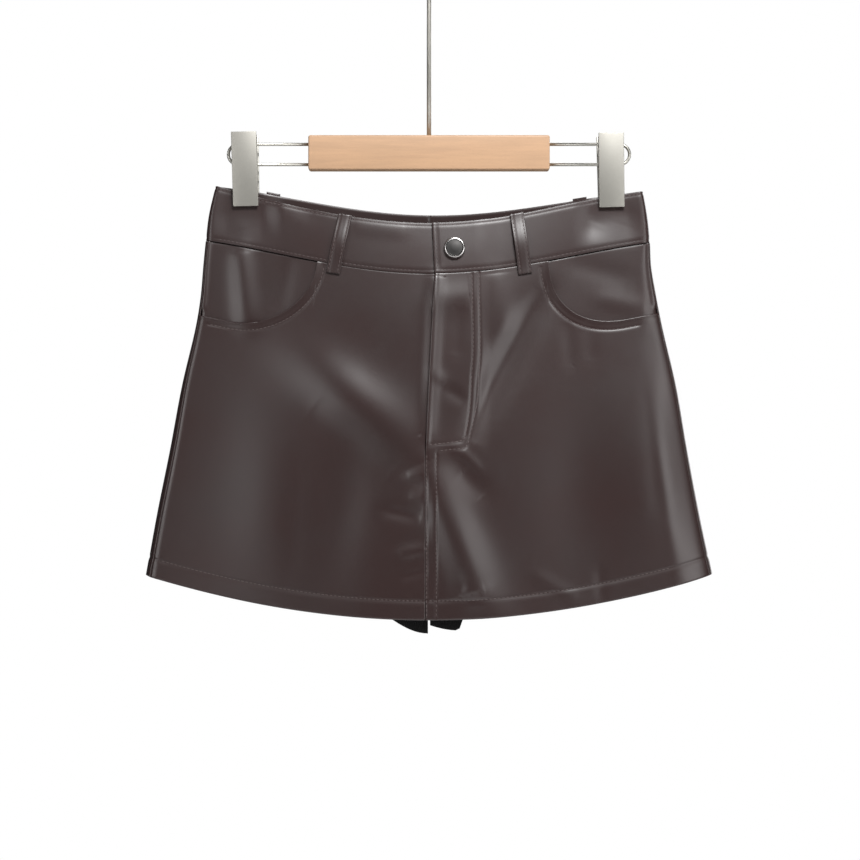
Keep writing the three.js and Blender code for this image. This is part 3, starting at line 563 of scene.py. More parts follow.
def front_panel(side, name, materials, sizes):
    pocket = POCKETS[side]
    step = grain_step(FINE)
    top_half = flat_half(side, np.array(0.0))
    sewn = (0, *SEAM_STITCHES, 34.5, 39.5, 30, 27) if side > 0 else (0,)
    to_pocket = graded(pocket["start"] - 1, step, [mark - sewn[0] for mark in sewn], end=False)
    curve = np.linspace(0, math.pi / 2, round(85 / step))
    along_curve = pocket["start"] + pocket["run"] * (1 - np.cos(curve))
    to_fold = np.linspace(along_curve[-1], top_half, max(2, round((top_half - along_curve[-1]) / step)))
    seam_far = float(fold_of(side, row_at(np.array(150.0)))[1]) * 1.5
    round_fold = spaced(seam_far, step, start=False)[1:]
    flat = np.concatenate([to_pocket, along_curve, to_fold[1:]]) / top_half
    column = np.concatenate([flat, 1 + round_fold / seam_far])
    from_edge = np.concatenate([flat * top_half, top_half + round_fold])

    def inner_edge(drop):
        if side > 0:
            return fly_edge(drop)
        foot = smooth(FLY_DEPTH - 24, FLY_DEPTH - 6, drop)
        return fly_edge(drop) + mix(FLY_UNDERLAP, -SEAM_GAP, foot)

    def turn_of(share, drop):
        edge = front_turn(side, inner_edge(drop), drop)
        return np.where(
            share < 1, mix(edge, 1, share), mix(1, seam_turn(side, drop), np.maximum(share - 1, 0))
        )

    top = np.full(column.shape, SEAM_GAP)
    for _ in range(14):
        x = np.minimum(turn_of(column, top), 1) * flat_half(side, top)
        top = mix(top, np.maximum(scoop_drop(side, x), SEAM_GAP), 0.6)
    body_length = SKIRT_DROP - HEM_ALLOWANCE
    body = graded(body_length, step, (0, 6, body_length), end=False) / body_length
    hem = graded(HEM_ALLOWANCE, step, (0,), start=False)[1:]
    share = np.concatenate([body, np.ones(len(hem))])
    below = np.concatenate([np.zeros(len(body)), hem])
    drop = mix(top[:, None], body_length, share[None]) + below[None]
    turn = turn_of(column[:, None] + 0 * drop, drop)
    x = side * np.minimum(turn, 1) * flat_half(side, drop)
    lines = front_lines(side)
    scoop = scoop_line(side)

    def relief(at_x, at_drop):
        sunk = groove(np.abs(at_drop - (SKIRT_DROP - HEM_ALLOWANCE)))
        for line in lines[1:]:
            sunk = np.minimum(sunk, groove(off_line(line, at_x, at_drop)[0]))
        rim = off_line(scoop, at_x, at_drop)[0]
        rolled = 0.85 * np.exp(-((rim / 2.4) ** 2))
        hem_roll = 0.3 * smooth(SKIRT_DROP - 14, SKIRT_DROP - 11, at_drop)
        if side > 0:
            from_fly = at_x - fly_edge(at_drop)
            above = 1 - smooth(FLY_DEPTH - 4, FLY_DEPTH + 4, at_drop)
            rolled = rolled + 0.6 * above * np.exp(-(((from_fly - 1.4) / 1.6) ** 2))
        return sunk + rolled + hem_roll

    def height_of(at_x, at_drop):
        lift = fly_step(at_x, at_drop) if side > 0 else 0
        return LEATHER + lift + relief(at_x, at_drop)

    step_up = fly_step(turn * flat_half(side, drop), drop) if side > 0 else np.zeros_like(drop)
    fill = edge_fill(
        from_edge[:, None], (from_edge[-1] - from_edge)[:, None],
        (share * body_length + below)[None], SKIRT_DROP - drop,
    )
    turned_up = LEATHER * smooth(SKIRT_DROP - HEM_ALLOWANCE, SKIRT_DROP - HEM_ALLOWANCE + 1, drop)
    middle = step_up + (LEATHER - turned_up) / 2
    half = (LEATHER + turned_up) / 2
    outer, inner = on_tube(
        side, turn, drop, (middle + half * fill + relief(x, drop) * fill, middle - half * fill)
    )
    made = shell(name, outer, inner, materials, x, drop)
    surface = outer_surface(side, lambda at_x, at_drop: front_turn(side, at_x, at_drop), height_of)
    thread = stitched(f"{name}_stitches", lines, surface, sizes)
    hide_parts(name)
    return made


def back_panel(side, name, materials, sizes):
    step = grain_step(MEDIUM)
    seam_far = float(fold_of(side, row_at(np.array(150.0)))[1])
    fold = spaced(seam_far, step, end=False)
    flat_far = float(flat_half(side, np.array(150.0)))
    flat = spaced(flat_far, step, start=False)[1:]
    column = np.concatenate([1 + fold / seam_far, 2 + flat / flat_far])
    from_edge = np.concatenate([fold, seam_far + flat])
    drops = np.concatenate([
        SEAM_GAP + spaced(SKIRT_DROP - HEM_ALLOWANCE - SEAM_GAP, step, end=False),
        SKIRT_DROP - HEM_ALLOWANCE + spaced(HEM_ALLOWANCE, step, start=False)[1:],
    ])
    drop = drops[None] + 0 * column[:, None]
    centre = back_turn(side, side * SEAM_GAP / 2, drop)
    seam = seam_turn(side, drop, SEAM_GAP)
    share = column[:, None] + 0 * drop
    turn = np.where(share < 2, mix(seam, 2, share - 1), mix(2, centre, share - 2))
    hem = SKIRT_DROP - HEM_ALLOWANCE

    def relief(at_drop):
        return groove(np.abs(at_drop - hem)) + 0.25 * smooth(hem + 1, hem + 4, at_drop)

    fill = edge_fill(
        from_edge[:, None], (from_edge[-1] - from_edge)[:, None], drop - SEAM_GAP, SKIRT_DROP - drop
    )
    turned_up = LEATHER * smooth(hem, hem + 1, drop)
    middle, half = (LEATHER - turned_up) / 2, (LEATHER + turned_up) / 2
    outer, inner = on_tube(
        side, turn, drop, (middle + (half + relief(drop)) * fill, middle - half * fill)
    )
    x = side * flat_half(side, drop) * np.clip(3 - turn, 0, 1)
    made = shell(name, outer, inner, materials, x, drop)
    surface = outer_surface(
        side,
        lambda at_x, at_drop: back_turn(side, at_x, at_drop),
        lambda at_x, at_drop: LEATHER + relief(at_drop),
    )
    ends = float(flat_half(side, np.array(hem))) - 1
    line = np.array(((side * 1.5, hem), (side * ends, hem)))
    thread = stitched(f"{name}_stitches", [line], surface, sizes)
    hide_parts(name)
    return made


def waistband(side, name, materials, sizes):
    step = grain_step(FINE)
    edge = band_edge if side > 0 else (lambda drop: np.full_like(drop, BAND_UNDERLAP))
    half = float(flat_half(side, np.array(-20.0)))
    start = 3.0 if side > 0 else -BAND_UNDERLAP
    front = spaced(half - start, step, end=False)
    fold = np.linspace(0, math.pi * 4, 12)[1:]
    back = spaced(half, grain_step(MEDIUM), start=False)[1:]
    column = np.concatenate([front / front[-1], 1 + fold / fold[-1], 2 + back / back[-1]])
    from_edge = np.concatenate([front, front[-1] + fold, front[-1] + fold[-1] + back])
    drops = spaced(BAND_DEPTH, step) - BAND_DEPTH
    drop = drops[None] + 0 * column[:, None]
    share = column[:, None] + 0 * drop
    first = front_turn(side, edge(drop), drop)
    last = back_turn(side, side * SEAM_GAP / 2, drop)
    turn = np.where(share < 1, mix(first, 1, share), np.where(share > 2, mix(2, last, share - 2), share))
    x = side * flat_half(side, drop) * np.where(turn > 1.5, 3 - turn, turn)
    lift = band_step(turn * flat_half(side, drop)) if side > 0 else 0 * drop
    lift = np.where(turn < 1, lift, 0)

    def relief(away_top, away_foot, away_edge):
        sunk = np.minimum(groove(np.abs(away_top - 2.2)), groove(np.abs(away_foot - 2.4)))
        if side > 0:
            sunk = np.minimum(sunk, groove(np.abs(away_edge - 3.0)))
        return sunk + 0.2 * np.sin(math.pi * away_top / BAND_DEPTH)

    fill = edge_fill(
        from_edge[:, None], (from_edge[-1] - from_edge)[:, None], drop + BAND_DEPTH, -drop
    )
    sunk = relief(drop + BAND_DEPTH, -drop, from_edge[:, None] + 0 * drop)
    outer, inner = on_tube(side, turn, drop, (lift + (BAND / 2 + sunk) * fill, lift - BAND / 2 * fill))
    made = shell(name, outer, inner, materials, x, drop)

    def height_of(at_x, at_drop):
        up = band_step(at_x) if side > 0 else 0
        away = at_x - BAND_EDGE_TOP if side > 0 else 0 * at_x + 50
        return BAND / 2 + up + relief(at_drop + BAND_DEPTH, -at_drop, away)

    surface = outer_surface(side, lambda at_x, at_drop: front_turn(side, at_x, at_drop), height_of)
    far = half - 1.5
    near = 6.0 if side > 0 else -6.0
    lines = [
        np.array(((near, 2.2 - BAND_DEPTH), (side * far, 2.2 - BAND_DEPTH))),
        np.array(((near, -2.4), (side * far, -2.4))),
    ]
    if side > 0:
        lines.append(np.array(((BAND_EDGE_TOP + 3, 3 - BAND_DEPTH), (FLY_EDGE_TOP + 2.6, -3))))
    thread = stitched(f"{name}_stitches", lines, surface, sizes)
    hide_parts(name)
    return made


def pocket_facing(side, name, materials):
    pocket = POCKETS[side]
    step = grain_step(FINE)
    inner_x = pocket["start"] - FACING_REACH
    top_half = float(flat_half(side, np.array(0.0)))
    flat = spaced(top_half - inner_x, step, end=False)
    seam_far = float(fold_of(side, row_at(np.array(40.0)))[1]) * 1.5
    fold = spaced(seam_far, step, start=False)[1:]
    column = np.concatenate([(inner_x + flat) / top_half, 1 + fold / seam_far])
    from_edge = np.concatenate([flat, flat[-1] + fold])
    length = pocket["depth"] + FACING_REACH
    down = spaced(length, step)
    reach = scoop_drop(side, column * top_half) + FACING_REACH
    drop = mix(GAP, reach[:, None], down[None] / length)
    share = column[:, None] + 0 * drop
    turn = np.where(share <= 1, share, mix(1, seam_turn(side, drop), share - 1))
    x = side * flat_half(side, drop) * np.minimum(turn, 1)
    fill = edge_fill(
        from_edge[:, None], (from_edge[-1] - from_edge)[:, None], drop - GAP, reach[:, None] - drop
    )
    mouth = scoop_drop(side, column * top_half)[:, None]
    near_seam = smooth(-9, -1, from_edge - from_edge[-1])[:, None]
    lift = FACING_LIFT * near_seam * (1 - smooth(mouth - 9, mouth - 2, drop))
    middle = lift - FACING_DROP_OFF - FACING / 2
    outer, inner = on_tube(
        side, turn, drop, (middle + FACING / 2 * fill, middle - FACING / 2 * fill)
    )
    made = shell(name, outer, inner, materials, x, drop)
    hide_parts(name)
    return made


def fly_strip(name, materials, first, last, length, outer_height, inner_height):
    step = grain_step(MEDIUM)
    wide = float(last(np.array(0.0)) - first(np.array(0.0)))
    across = spaced(wide, step)
    down = spaced(length - GAP, step)
    drop = GAP + down[None] + 0 * across[:, None]
    x = mix(first(drop), last(drop), across[:, None] / wide)
    fill = edge_fill(across[:, None], (wide - across)[:, None], drop - GAP, length - drop)
    middle, half = (outer_height + inner_height) / 2, (outer_height - inner_height) / 2
    outer, inner = on_tube(
        1, front_turn(1, x, drop), drop, (middle + half * fill, middle - half * fill)
    )
    made = shell(name, outer, inner, materials, x, drop)
    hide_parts(name)
    return made


def belt_loop(side, name, places, turn_at, rise, below, materials, sizes):
    top, foot = places
    highest = -BAND_DEPTH - rise
    step = grain_step(0.9)
    width = LOOP["width"]
    across = spaced(width, step)
    length = below - highest
    down = spaced(length, step)
    share = down[None] / length + 0 * across[:, None]
    drop = mix(highest, below, share)
    x = mix(top, foot, share) + across[:, None] - width / 2

    def height_of(at_share, at_across):
        arch = LOOP["bow"] * np.sin(math.pi * np.clip(at_share, 0, 1)) ** 2
        rows = groove(np.abs(np.abs(at_across) - (width / 2 - 1.8)), 0.3, 0.8)
        return LEATHER + LOOP["clear"] + arch, LOOP["thickness"] + rows

    base, thick = height_of(share, across[:, None] - width / 2)
    fill = edge_fill(across[:, None], (width - across)[:, None], down[None], length - down[None])
    middle = base + LOOP["thickness"] / 2
    outer, inner = on_tube(
        side, turn_at(side, x, drop), drop,
        (middle + (thick - LOOP["thickness"] / 2) * fill, middle - LOOP["thickness"] / 2 * fill),
    )
    made = shell(name, outer, inner, materials, x, drop)

    def surface(at_x, at_drop):
        at_share = (at_drop - highest) / length
        at_base, at_thick = height_of(at_share, at_x - mix(top, foot, at_share))
        turn = turn_at(side, at_x, at_drop)
        flat, lifted = on_tube(side, turn, at_drop, (0 * at_x, 0 * at_x + 1))
        normal = lifted - flat
        return flat + normal * (at_base + at_thick)[..., None], normal

    lines = [
        np.array(((top + out, highest + 1.5), (foot + out, below - 1.5)))
        for out in (width / 2 - 1.8, 1.8 - width / 2)
    ]
    thread = stitched(f"{name}_stitches", lines, surface, sizes)
    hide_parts(name)
    return made


def shorts_row(drop):
    row = row_at(drop)
    share = np.maximum(drop, 0) / SKIRT_DROP
    ease = smooth(0, 90, drop)
    deep = row["left_deep"] - ease
    row.update({key: deep for key in ("left_wide", "right_wide", "left_deep", "right_deep")})
    for key in ("left", "right"):
        row[key] = row[key] - SHORTS["slimmer"] * share
    for key in ("front_bulge", "back_bulge"):
        row[key] = row[key] - SHORTS["shallower"] * ease
    return row


def shorts_point(side, turn, drop):
    row = shorts_row(drop)
    half, wide, _ = fold_of(side, row)
    leg_gap = mix(GAP / 2, SHORTS["leg_gap"], smooth(SHORTS["crotch"], SKIRT_DROP, drop))
    centre = leg_gap / (half - wide)
    spread = np.where(turn < 1, mix(centre, 1, turn), np.where(turn > 2, mix(2, 3 - centre, turn - 2), turn))
    place = tube(side, spread, drop, row, creased=False)
    closing = smooth(SHORTS["crotch_start"], SHORTS["crotch"], drop)
    gusset = closing * (1 - smooth(0, SHORTS["gusset"], np.abs(place[..., 0]) - leg_gap)) ** 0.6
    place[..., 1] = mix(place[..., 1], np.sign(place[..., 1]) * SHORTS["apart"], gusset)
    return place


def leg_hem(side, x):
    hem = LEG_HEMS[side]
    away = np.abs(x) - hem["lowest"]
    reach = np.where(away < 0, hem["inwards"], hem["outwards"])
    return SHORTS["side_hem"] + hem["lower"] * np.exp(-((away / reach) ** 2))


def shorts_half(side, name, materials):
    step = grain_step(COARSE)
    half = float(flat_half(-1, np.array(SHORTS["side_hem"])))
    front = spaced(half, step, end=False)
    fold = np.linspace(0, math.pi * 5, 8)[1:]
    back = (front[-1] - front[::-1])[1:]
    column = np.concatenate([front / half, 1 + fold / fold[-1], 2 + back / half])
    from_edge = np.concatenate([front, half + fold, half + fold[-1] + back])
    length = SHORTS["side_hem"] + SHORTS["above_seam"]
    down = spaced(length, step)
    x = np.minimum(np.minimum(column, 3 - column), 1) * half
    hem = leg_hem(side, x)
    drop = mix(-SHORTS["above_seam"], hem[:, None], down[None] / length)
    turn = column[:, None] + 0 * drop

    def point(t, d):
        return shorts_point(side, t, d)

    normal = outward(point, side, np.clip(turn, 2 * NUDGE, 3 - 2 * NUDGE), drop)
    base = point(turn, drop)
    fill = edge_fill(
        from_edge[:, None], (from_edge[-1] - from_edge)[:, None], down[None], length - down[None]
    )
    middle = -SHORTS["inset"] - JERSEY / 2
    outer, inner = (
        base + normal * (middle + sign * JERSEY / 2 * fill)[..., None] for sign in (1, -1)
    )
    made = shell(name, outer, inner, materials, from_edge[:, None] + 0 * drop, drop)
    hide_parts(name)
    return made


# ---- metal and wood ----


def ring(bm, centre, radius, axis, sides=20):
    """A round of edges across an axis, to be swept."""
    turn = Vector((0, 0, 1)).rotation_difference(Vector(axis)).to_matrix().to_4x4()
    place = Matrix.Translation(Vector(centre) * MM) @ turn
    made = bmesh.ops.create_circle(bm, segments=sides, radius=radius * MM, matrix=place)
    return list({edge for vert in made["verts"] for edge in vert.link_edges})


def sharpened(made, angle=0.7):
    """Keeps a hard piece's flat faces flat: edges past an angle are shaded sharp."""
    bm = bmesh.new()
    bm.from_mesh(made.data)
    for edge in bm.edges:
        edge.smooth = not edge.is_manifold or edge.calc_face_angle() < angle
    bm.to_mesh(made.data)
    bm.free()


def swept_run(bm, edges, move):
    made = bmesh.ops.extrude_edge_only(bm, edges=edges)["geom"]
    verts = [found for found in made if isinstance(found, bmesh.types.BMVert)]
    bmesh.ops.translate(bm, verts=verts, vec=Vector(move) * MM)
    return [found for found in made if isinstance(found, bmesh.types.BMEdge) and found.is_boundary]


def swept_arc(bm, edges, centre, angle, steps):
    verts = list({vert for edge in edges for vert in edge.verts})
    made = bmesh.ops.spin(
        bm, geom=verts + edges, cent=Vector(centre) * MM, axis=(0, 1, 0), angle=angle, steps=steps,
        use_merge=False, use_duplicate=False,
    )["geom_last"]
    return [found for found in made if isinstance(found, bmesh.types.BMEdge)]


def closed_end(bm, edges, out, radius):
    """Closes a swept wire with a low dome."""
    for share in (0.35, 0.35):
        edges = swept_run(bm, edges, Vector(out) * radius * share)
        verts = list({vert for edge in edges for vert in edge.verts})
        middle = sum((vert.co for vert in verts), Vector()) / len(verts)
        bmesh.ops.scale(bm, verts=verts, vec=(0.7, 0.7, 0.7), space=Matrix.Translation(-middle))
    bmesh.ops.contextual_create(bm, geom=edges)


def settled(bm):
    bmesh.ops.remove_doubles(bm, verts=bm.verts, dist=1e-7)
    bmesh.ops.recalc_face_normals(bm, faces=bm.faces)


def hook_piece(material):
    bm = bmesh.new()
    radius = HOOK["wire"] / 2
    centre = radius - HOOK["radius"]
    bend_drop = math.sqrt(HOOK["radius"] ** 2 + 2 * HOOK["radius"] * HOOK["bend"])
    foot = BAR["top"] - HOOK["socket"]
    meet = math.atan2(bend_drop, HOOK["bend"])
    edges = ring(bm, (0, 0, foot), radius, (0, 0, 1))
    bmesh.ops.contextual_create(bm, geom=edges)
    edges = swept_run(bm, edges, (0, 0, centre - bend_drop - foot))
    edges = swept_arc(bm, edges, (HOOK["bend"], 0, centre - bend_drop), meet, 14)
    sweep = meet + math.radians(HOOK["tip"])
    edges = swept_arc(bm, edges, (0, 0, centre), -sweep, 46)
    tip = math.radians(HOOK["tip"])
    closed_end(bm, edges, (-math.sin(tip), 0, math.cos(tip)), radius)
    settled(bm)
    made = piece("hook", bm, [material])
    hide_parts("hanger_hook")
    return made


def wire_piece(side, name, material):
    bm = bmesh.new()
    radius = WIRE["spacing"] / 2
    turn = side * (WIRE["reach"] - radius - WIRE["diameter"] / 2)
    inside = side * (BAR["length"] / 2 - WIRE["socket"])
    edges = ring(bm, (inside, 0, WIRE["upper"]), WIRE["diameter"] / 2, (side, 0, 0), 16)
    bmesh.ops.contextual_create(bm, geom=edges)
    edges = swept_run(bm, edges, (turn - inside, 0, 0))
    edges = swept_arc(bm, edges, (turn, 0, WIRE["upper"] - radius), side * math.pi, 18)
    edges = swept_run(bm, edges, (inside - turn, 0, 0))
    bmesh.ops.contextual_create(bm, geom=edges)
    settled(bm)
    made = piece(name, bm, [material])
    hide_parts(name)
    return made


def bar_piece(material):
    bm = bmesh.new()
    size = Matrix.Diagonal((BAR["length"] * MM, BAR["depth"] * MM, BAR["height"] * MM, 1))
    place = Matrix.Translation((0, 0, (BAR["top"] - BAR["height"] / 2) * MM))
    bmesh.ops.create_cube(bm, size=1.0, matrix=place @ size)
    uprights = [edge for edge in bm.edges if abs((edge.verts[0].co - edge.verts[1].co).y) > 5 * MM]
    bmesh.ops.bevel(
        bm, geom=uprights, offset=1.8 * MM, affect="EDGES", segments=6, profile=0.5, material=-1
    )
    rims = [edge for edge in bm.edges if len({round(vert.co.y, 6) for vert in edge.verts}) == 1]
    bmesh.ops.bevel(bm, geom=rims, offset=1.4 * MM, affect="EDGES", segments=4, profile=0.5, material=-1)
    made = piece("bar", bm, [material])
    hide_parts("hanger_bar")
    return made


def button_piece(materials):
    bm = bmesh.new()
    radius, height = BUTTON["radius"], BUTTON["height"]
    profile = (
        (0, 0), (radius - 0.7, 0), (radius - 0.15, 0.4), (radius, 1.0), (radius - 0.05, 1.9),
        (radius - 0.4, height - 0.5), (radius - 0.9, height - 0.1), (radius - 1.5, height),
        (radius - 2.0, height - 0.35), (radius - 2.4, height - 0.8), (radius - 3.2, height - 0.75),
        (radius * 0.4, height - 0.35), (radius * 0.2, height - 0.2), (0, height - 0.15),
    )
    verts = [bm.verts.new((r * MM, 0, h * MM)) for r, h in profile]
    edges = [bm.edges.new(pair) for pair in zip(verts, verts[1:])]
    bmesh.ops.spin(
        bm, geom=verts + edges, cent=(0, 0, 0), axis=(0, 0, 1), angle=math.tau, steps=72, use_merge=True
    )
    settled(bm)
    for found in bm.faces:
        middle = found.calc_center_median()
        found.material_index = int(math.hypot(middle.x, middle.y) < (radius - 2.1) * MM and middle.z > MM)
    surface = outer_surface(1, lambda x, drop: front_turn(1, x, drop), lambda x, drop: 0 * x)
    at = np.array([BUTTON["x"]])
    places, normals = surface(at, np.array([BUTTON["drop"]]))
    back = BAND / 2 + float(band_step(BUTTON["x"])) + GAP
    normal = Vector(normals[0])
    centre = (Vector(places[0]) + normal * back) * MM
    turn = Vector((0, 0, 1)).rotation_difference(normal).to_matrix().to_4x4()
    bmesh.ops.transform(bm, matrix=Matrix.Translation(centre) @ turn, verts=bm.verts)
    made = piece("jeans_button", bm, materials)
    sharpened(made)
    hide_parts("button")
    return made


def plate(bm, outline, width, move=0.0):
    """A pressed sheet: an outline in y and z, swept along x."""
    verts = [bm.verts.new(((move - width / 2) * MM, y * MM, z * MM)) for y, z in outline]
    face = bm.faces.new(verts)
    made = bmesh.ops.extrude_face_region(bm, geom=[face])["geom"]
    moved = [found for found in made if isinstance(found, bmesh.types.BMVert)]
    bmesh.ops.translate(bm, verts=moved, vec=(width * MM, 0, 0))


def clip_piece(side, front, name, material):
    """One half of a clip: a flat pressed plate, the pad of its jaw, two cheeks and, on the front half, the pin."""
    bm = bmesh.new()
    sheet, height, foot = CLIP["sheet"], CLIP["height"], CLIP["foot"]
    jaw_face = PINCH["apart"] + BAND / 2 + GAP
    jaw_top = CLIP["jaw"] - height
    plate(
        bm, ((CLIP["top"], 0), (foot, -height), (foot + sheet, -height), (CLIP["top"] + sheet, 0)),
        CLIP["width"],
    )
    inside = mix(CLIP["top"], foot, -jaw_top / height)
    pad = ((jaw_face, -height + 0.4), (jaw_face, jaw_top), (inside, jaw_top), (foot, -height + 0.4))
    plate(bm, pad, CLIP["width"] - 2.4)
    wire_side = WIRE["diameter"] / 2 + GAP
    top, low = CLIP["flange_top"], CLIP["flange_foot"]
    cheek = (
        (CLIP["top"] + 0.4, -top), (foot + 0.4, low - height), (jaw_face + 0.4, low - height),
        (jaw_face + 0.4, jaw_top), (wire_side, -CLIP["pin_drop"] - CLIP["ear"] / 2),
        (wire_side, -2 * top), (wire_side + top, -top),
    )
    inset = 0 if front else CLIP["flange"] + GAP
    reach = CLIP["width"] / 2 - inset - CLIP["flange"] / 2
    turned = Matrix.Rotation(math.pi / 2, 4, "Y")
    for x in (-reach, reach):
        plate(bm, cheek, CLIP["flange"], x)
        place = Matrix.Translation((x * MM, 0, -CLIP["pin_drop"] * MM)) @ turned
        bmesh.ops.create_cone(
            bm, cap_ends=True, segments=28, radius1=CLIP["ear"] / 2 * MM,
            radius2=CLIP["ear"] / 2 * MM, depth=CLIP["flange"] * MM, matrix=place,
        )
    bmesh.ops.recalc_face_normals(bm, faces=bm.faces)
    sharp = [edge for edge in bm.edges if edge.is_manifold and edge.calc_face_angle() > 0.6]
    bmesh.ops.bevel(
        bm, geom=sharp, offset=0.45 * MM, affect="EDGES", segments=3, profile=0.5, material=-1,
        clamp_overlap=True,
    )
    if front:
        place = Matrix.Translation((0, 0, -CLIP["pin_drop"] * MM)) @ turned
        bmesh.ops.create_cone(
            bm, cap_ends=True, segments=24, radius1=CLIP["pin"] / 2 * MM,
            radius2=CLIP["pin"] / 2 * MM, depth=(CLIP["width"] + 0.8) * MM, matrix=place,
        )
    x, top, lean = CLIPS[side]
    facing = Matrix.Scale(-1, 4, (0, 1, 0)) if front else Matrix.Identity(4)
    leaning = Matrix.Rotation(math.radians(lean), 4, "Y")
    place = Matrix.Translation((x * MM, 0, top * MM)) @ leaning @ facing
    bmesh.ops.transform(bm, matrix=place, verts=bm.verts)
    bmesh.ops.recalc_face_normals(bm, faces=bm.faces)
    made = piece(name, bm, [material])
    sharpened(made)
    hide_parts(name)
    return made


# ---- finishes ----


class Nodes:
    """Adds nodes to a tree in short calls and links them."""

    def __init__(self, tree):
        self.tree = tree

    def add(self, kind, settings=None, **inputs):
        node = self.tree.nodes.new(kind)
        for key, value in (settings or {}).items():
            setattr(node, key, value)
        for key, value in inputs.items():
            self.feed(node.inputs[key.replace("_", " ")], value)
        return node

    def feed(self, socket, value):
        if isinstance(value, bpy.types.NodeSocket):
            self.tree.links.new(value, socket)
        else:
            socket.default_value = value

    def math(self, operation, a, b=0.0):
        node = self.add("ShaderNodeMath", {"operation": operation})
        self.feed(node.inputs[0], a)
        self.feed(node.inputs[1], b)
        return node.outputs[0]

    def blend(self, share, a, b):
        node = self.add("ShaderNodeMix", {"data_type": "RGBA"})
        self.feed(node.inputs["Factor"], share)
        self.feed(node.inputs[6], a)
        self.feed(node.inputs[7], b)
        return node.outputs[2]

    def span(self, value, low, high, to_low=0.0, to_high=1.0):
        node = self.add("ShaderNodeMapRange")
        for index, given in enumerate((value, low, high, to_low, to_high)):
            self.feed(node.inputs[index], given)
        return node.outputs[0]


def effect(name, inputs, outputs, build):
    """A shader node group with named inputs and outputs, built once."""
    found = bpy.data.node_groups.get(name)
    if found:
        return found
    tree = bpy.data.node_groups.new(name, "ShaderNodeTree")
    for label, kind, default in inputs:
        socket = tree.interface.new_socket(label, in_out="INPUT", socket_type=kind)
        if default is not None:
            socket.default_value = default
    for label, kind in outputs:
        tree.interface.new_socket(label, in_out="OUTPUT", socket_type=kind)
    nodes = Nodes(tree)
    given = nodes.add("NodeGroupInput").outputs
    result = nodes.add("NodeGroupOutput").inputs
    for label, value in build(nodes, given).items():
        nodes.feed(result[label], value)
    return tree


FLOAT, COLOUR, VECTOR = "NodeSocketFloat", "NodeSocketColor", "NodeSocketVector"


def build_mottle(nodes, given):
    """Two colours that drift into each other over centimetres, and a mask of the same drift."""
    noise = nodes.add(
        "ShaderNodeTexNoise", Vector=given["Vector"], Scale=given["Scale"], Detail=4.0, Roughness=0.55
    )
    mask = nodes.span(noise.outputs[0], 0.3, 0.7)
    return {"Color": nodes.blend(mask, given["Dark"], given["Light"]), "Mask": mask}


def build_grain(nodes, given):
    """The pebbled grain that is pressed into the leather, as a height and a mask."""
    cells = nodes.add(
        "ShaderNodeTexVoronoi", {"feature": "DISTANCE_TO_EDGE"}, Vector=given["Vector"], Scale=given["Scale"]
    )
    pebble = nodes.span(cells.outputs["Distance"], 0.0, 0.25)
    fine = nodes.add("ShaderNodeTexNoise", Vector=given["Vector"], Scale=900.0, Detail=3.0)
    soft = nodes.add("ShaderNodeTexNoise", Vector=given["Vector"], Scale=160.0, Detail=3.0)
    height = nodes.math("ADD", pebble, nodes.math("MULTIPLY", fine.outputs[0], 0.5))
    height = nodes.math("ADD", height, nodes.math("MULTIPLY", soft.outputs[0], 1.6))
    return {"Height": height, "Mask": pebble}


def mottle():
    return effect(
        "Mottle",
        (("Vector", VECTOR, None), ("Scale", FLOAT, 14.0), ("Dark", COLOUR, None), ("Light", COLOUR, None)),
        (("Color", COLOUR), ("Mask", FLOAT)),
        build_mottle,
    )


def grain():
    return effect(
        "Pressed grain",
        (("Vector", VECTOR, None), ("Scale", FLOAT, 1000.0)),
        (("Height", FLOAT), ("Mask", FLOAT)),
        build_grain,
    )


def new_finish(name):
    """An empty material: its nodes, its Principled shader and its Object coordinates."""
    material = bpy.data.materials.new(name)
    material.use_nodes = True
    nodes = Nodes(material.node_tree)
    shader = material.node_tree.nodes["Principled BSDF"]
    place = nodes.add("ShaderNodeTexCoord").outputs["Object"]
    return material, nodes, shader, place


def group_node(nodes, tree, **inputs):
    return nodes.add("ShaderNodeGroup", {"node_tree": tree}, **inputs)


def shade(colour, amount):
    return tuple(min(channel * amount, 1.0) for channel in colour[:3]) + (1.0,)


def leather_finish(name, colour, roughness=0.335, bump=0.03):
    material, nodes, shader, place = new_finish(name)
    tone = group_node(nodes, mottle(), Vector=place, Scale=16.0, Dark=shade(colour, 0.88), Light=shade(colour, 1.12))
    pressed = group_node(nodes, grain(), Vector=place, Scale=900.0)
    nodes.feed(shader.inputs["Base Color"], tone.outputs["Color"])
    rough = nodes.span(pressed.outputs["Mask"], 0.0, 1.0, roughness + 0.05, roughness)
    rough = nodes.math("ADD", rough, nodes.span(tone.outputs["Mask"], 0.0, 1.0, 0.03, -0.03))
    nodes.feed(shader.inputs["Roughness"], rough)
    raised = nodes.add("ShaderNodeBump", Strength=bump, Distance=0.0002, Height=pressed.outputs["Height"])
    nodes.feed(shader.inputs["Normal"], raised.outputs[0])
    shader.inputs["Specular IOR Level"].default_value = 0.72
    return material


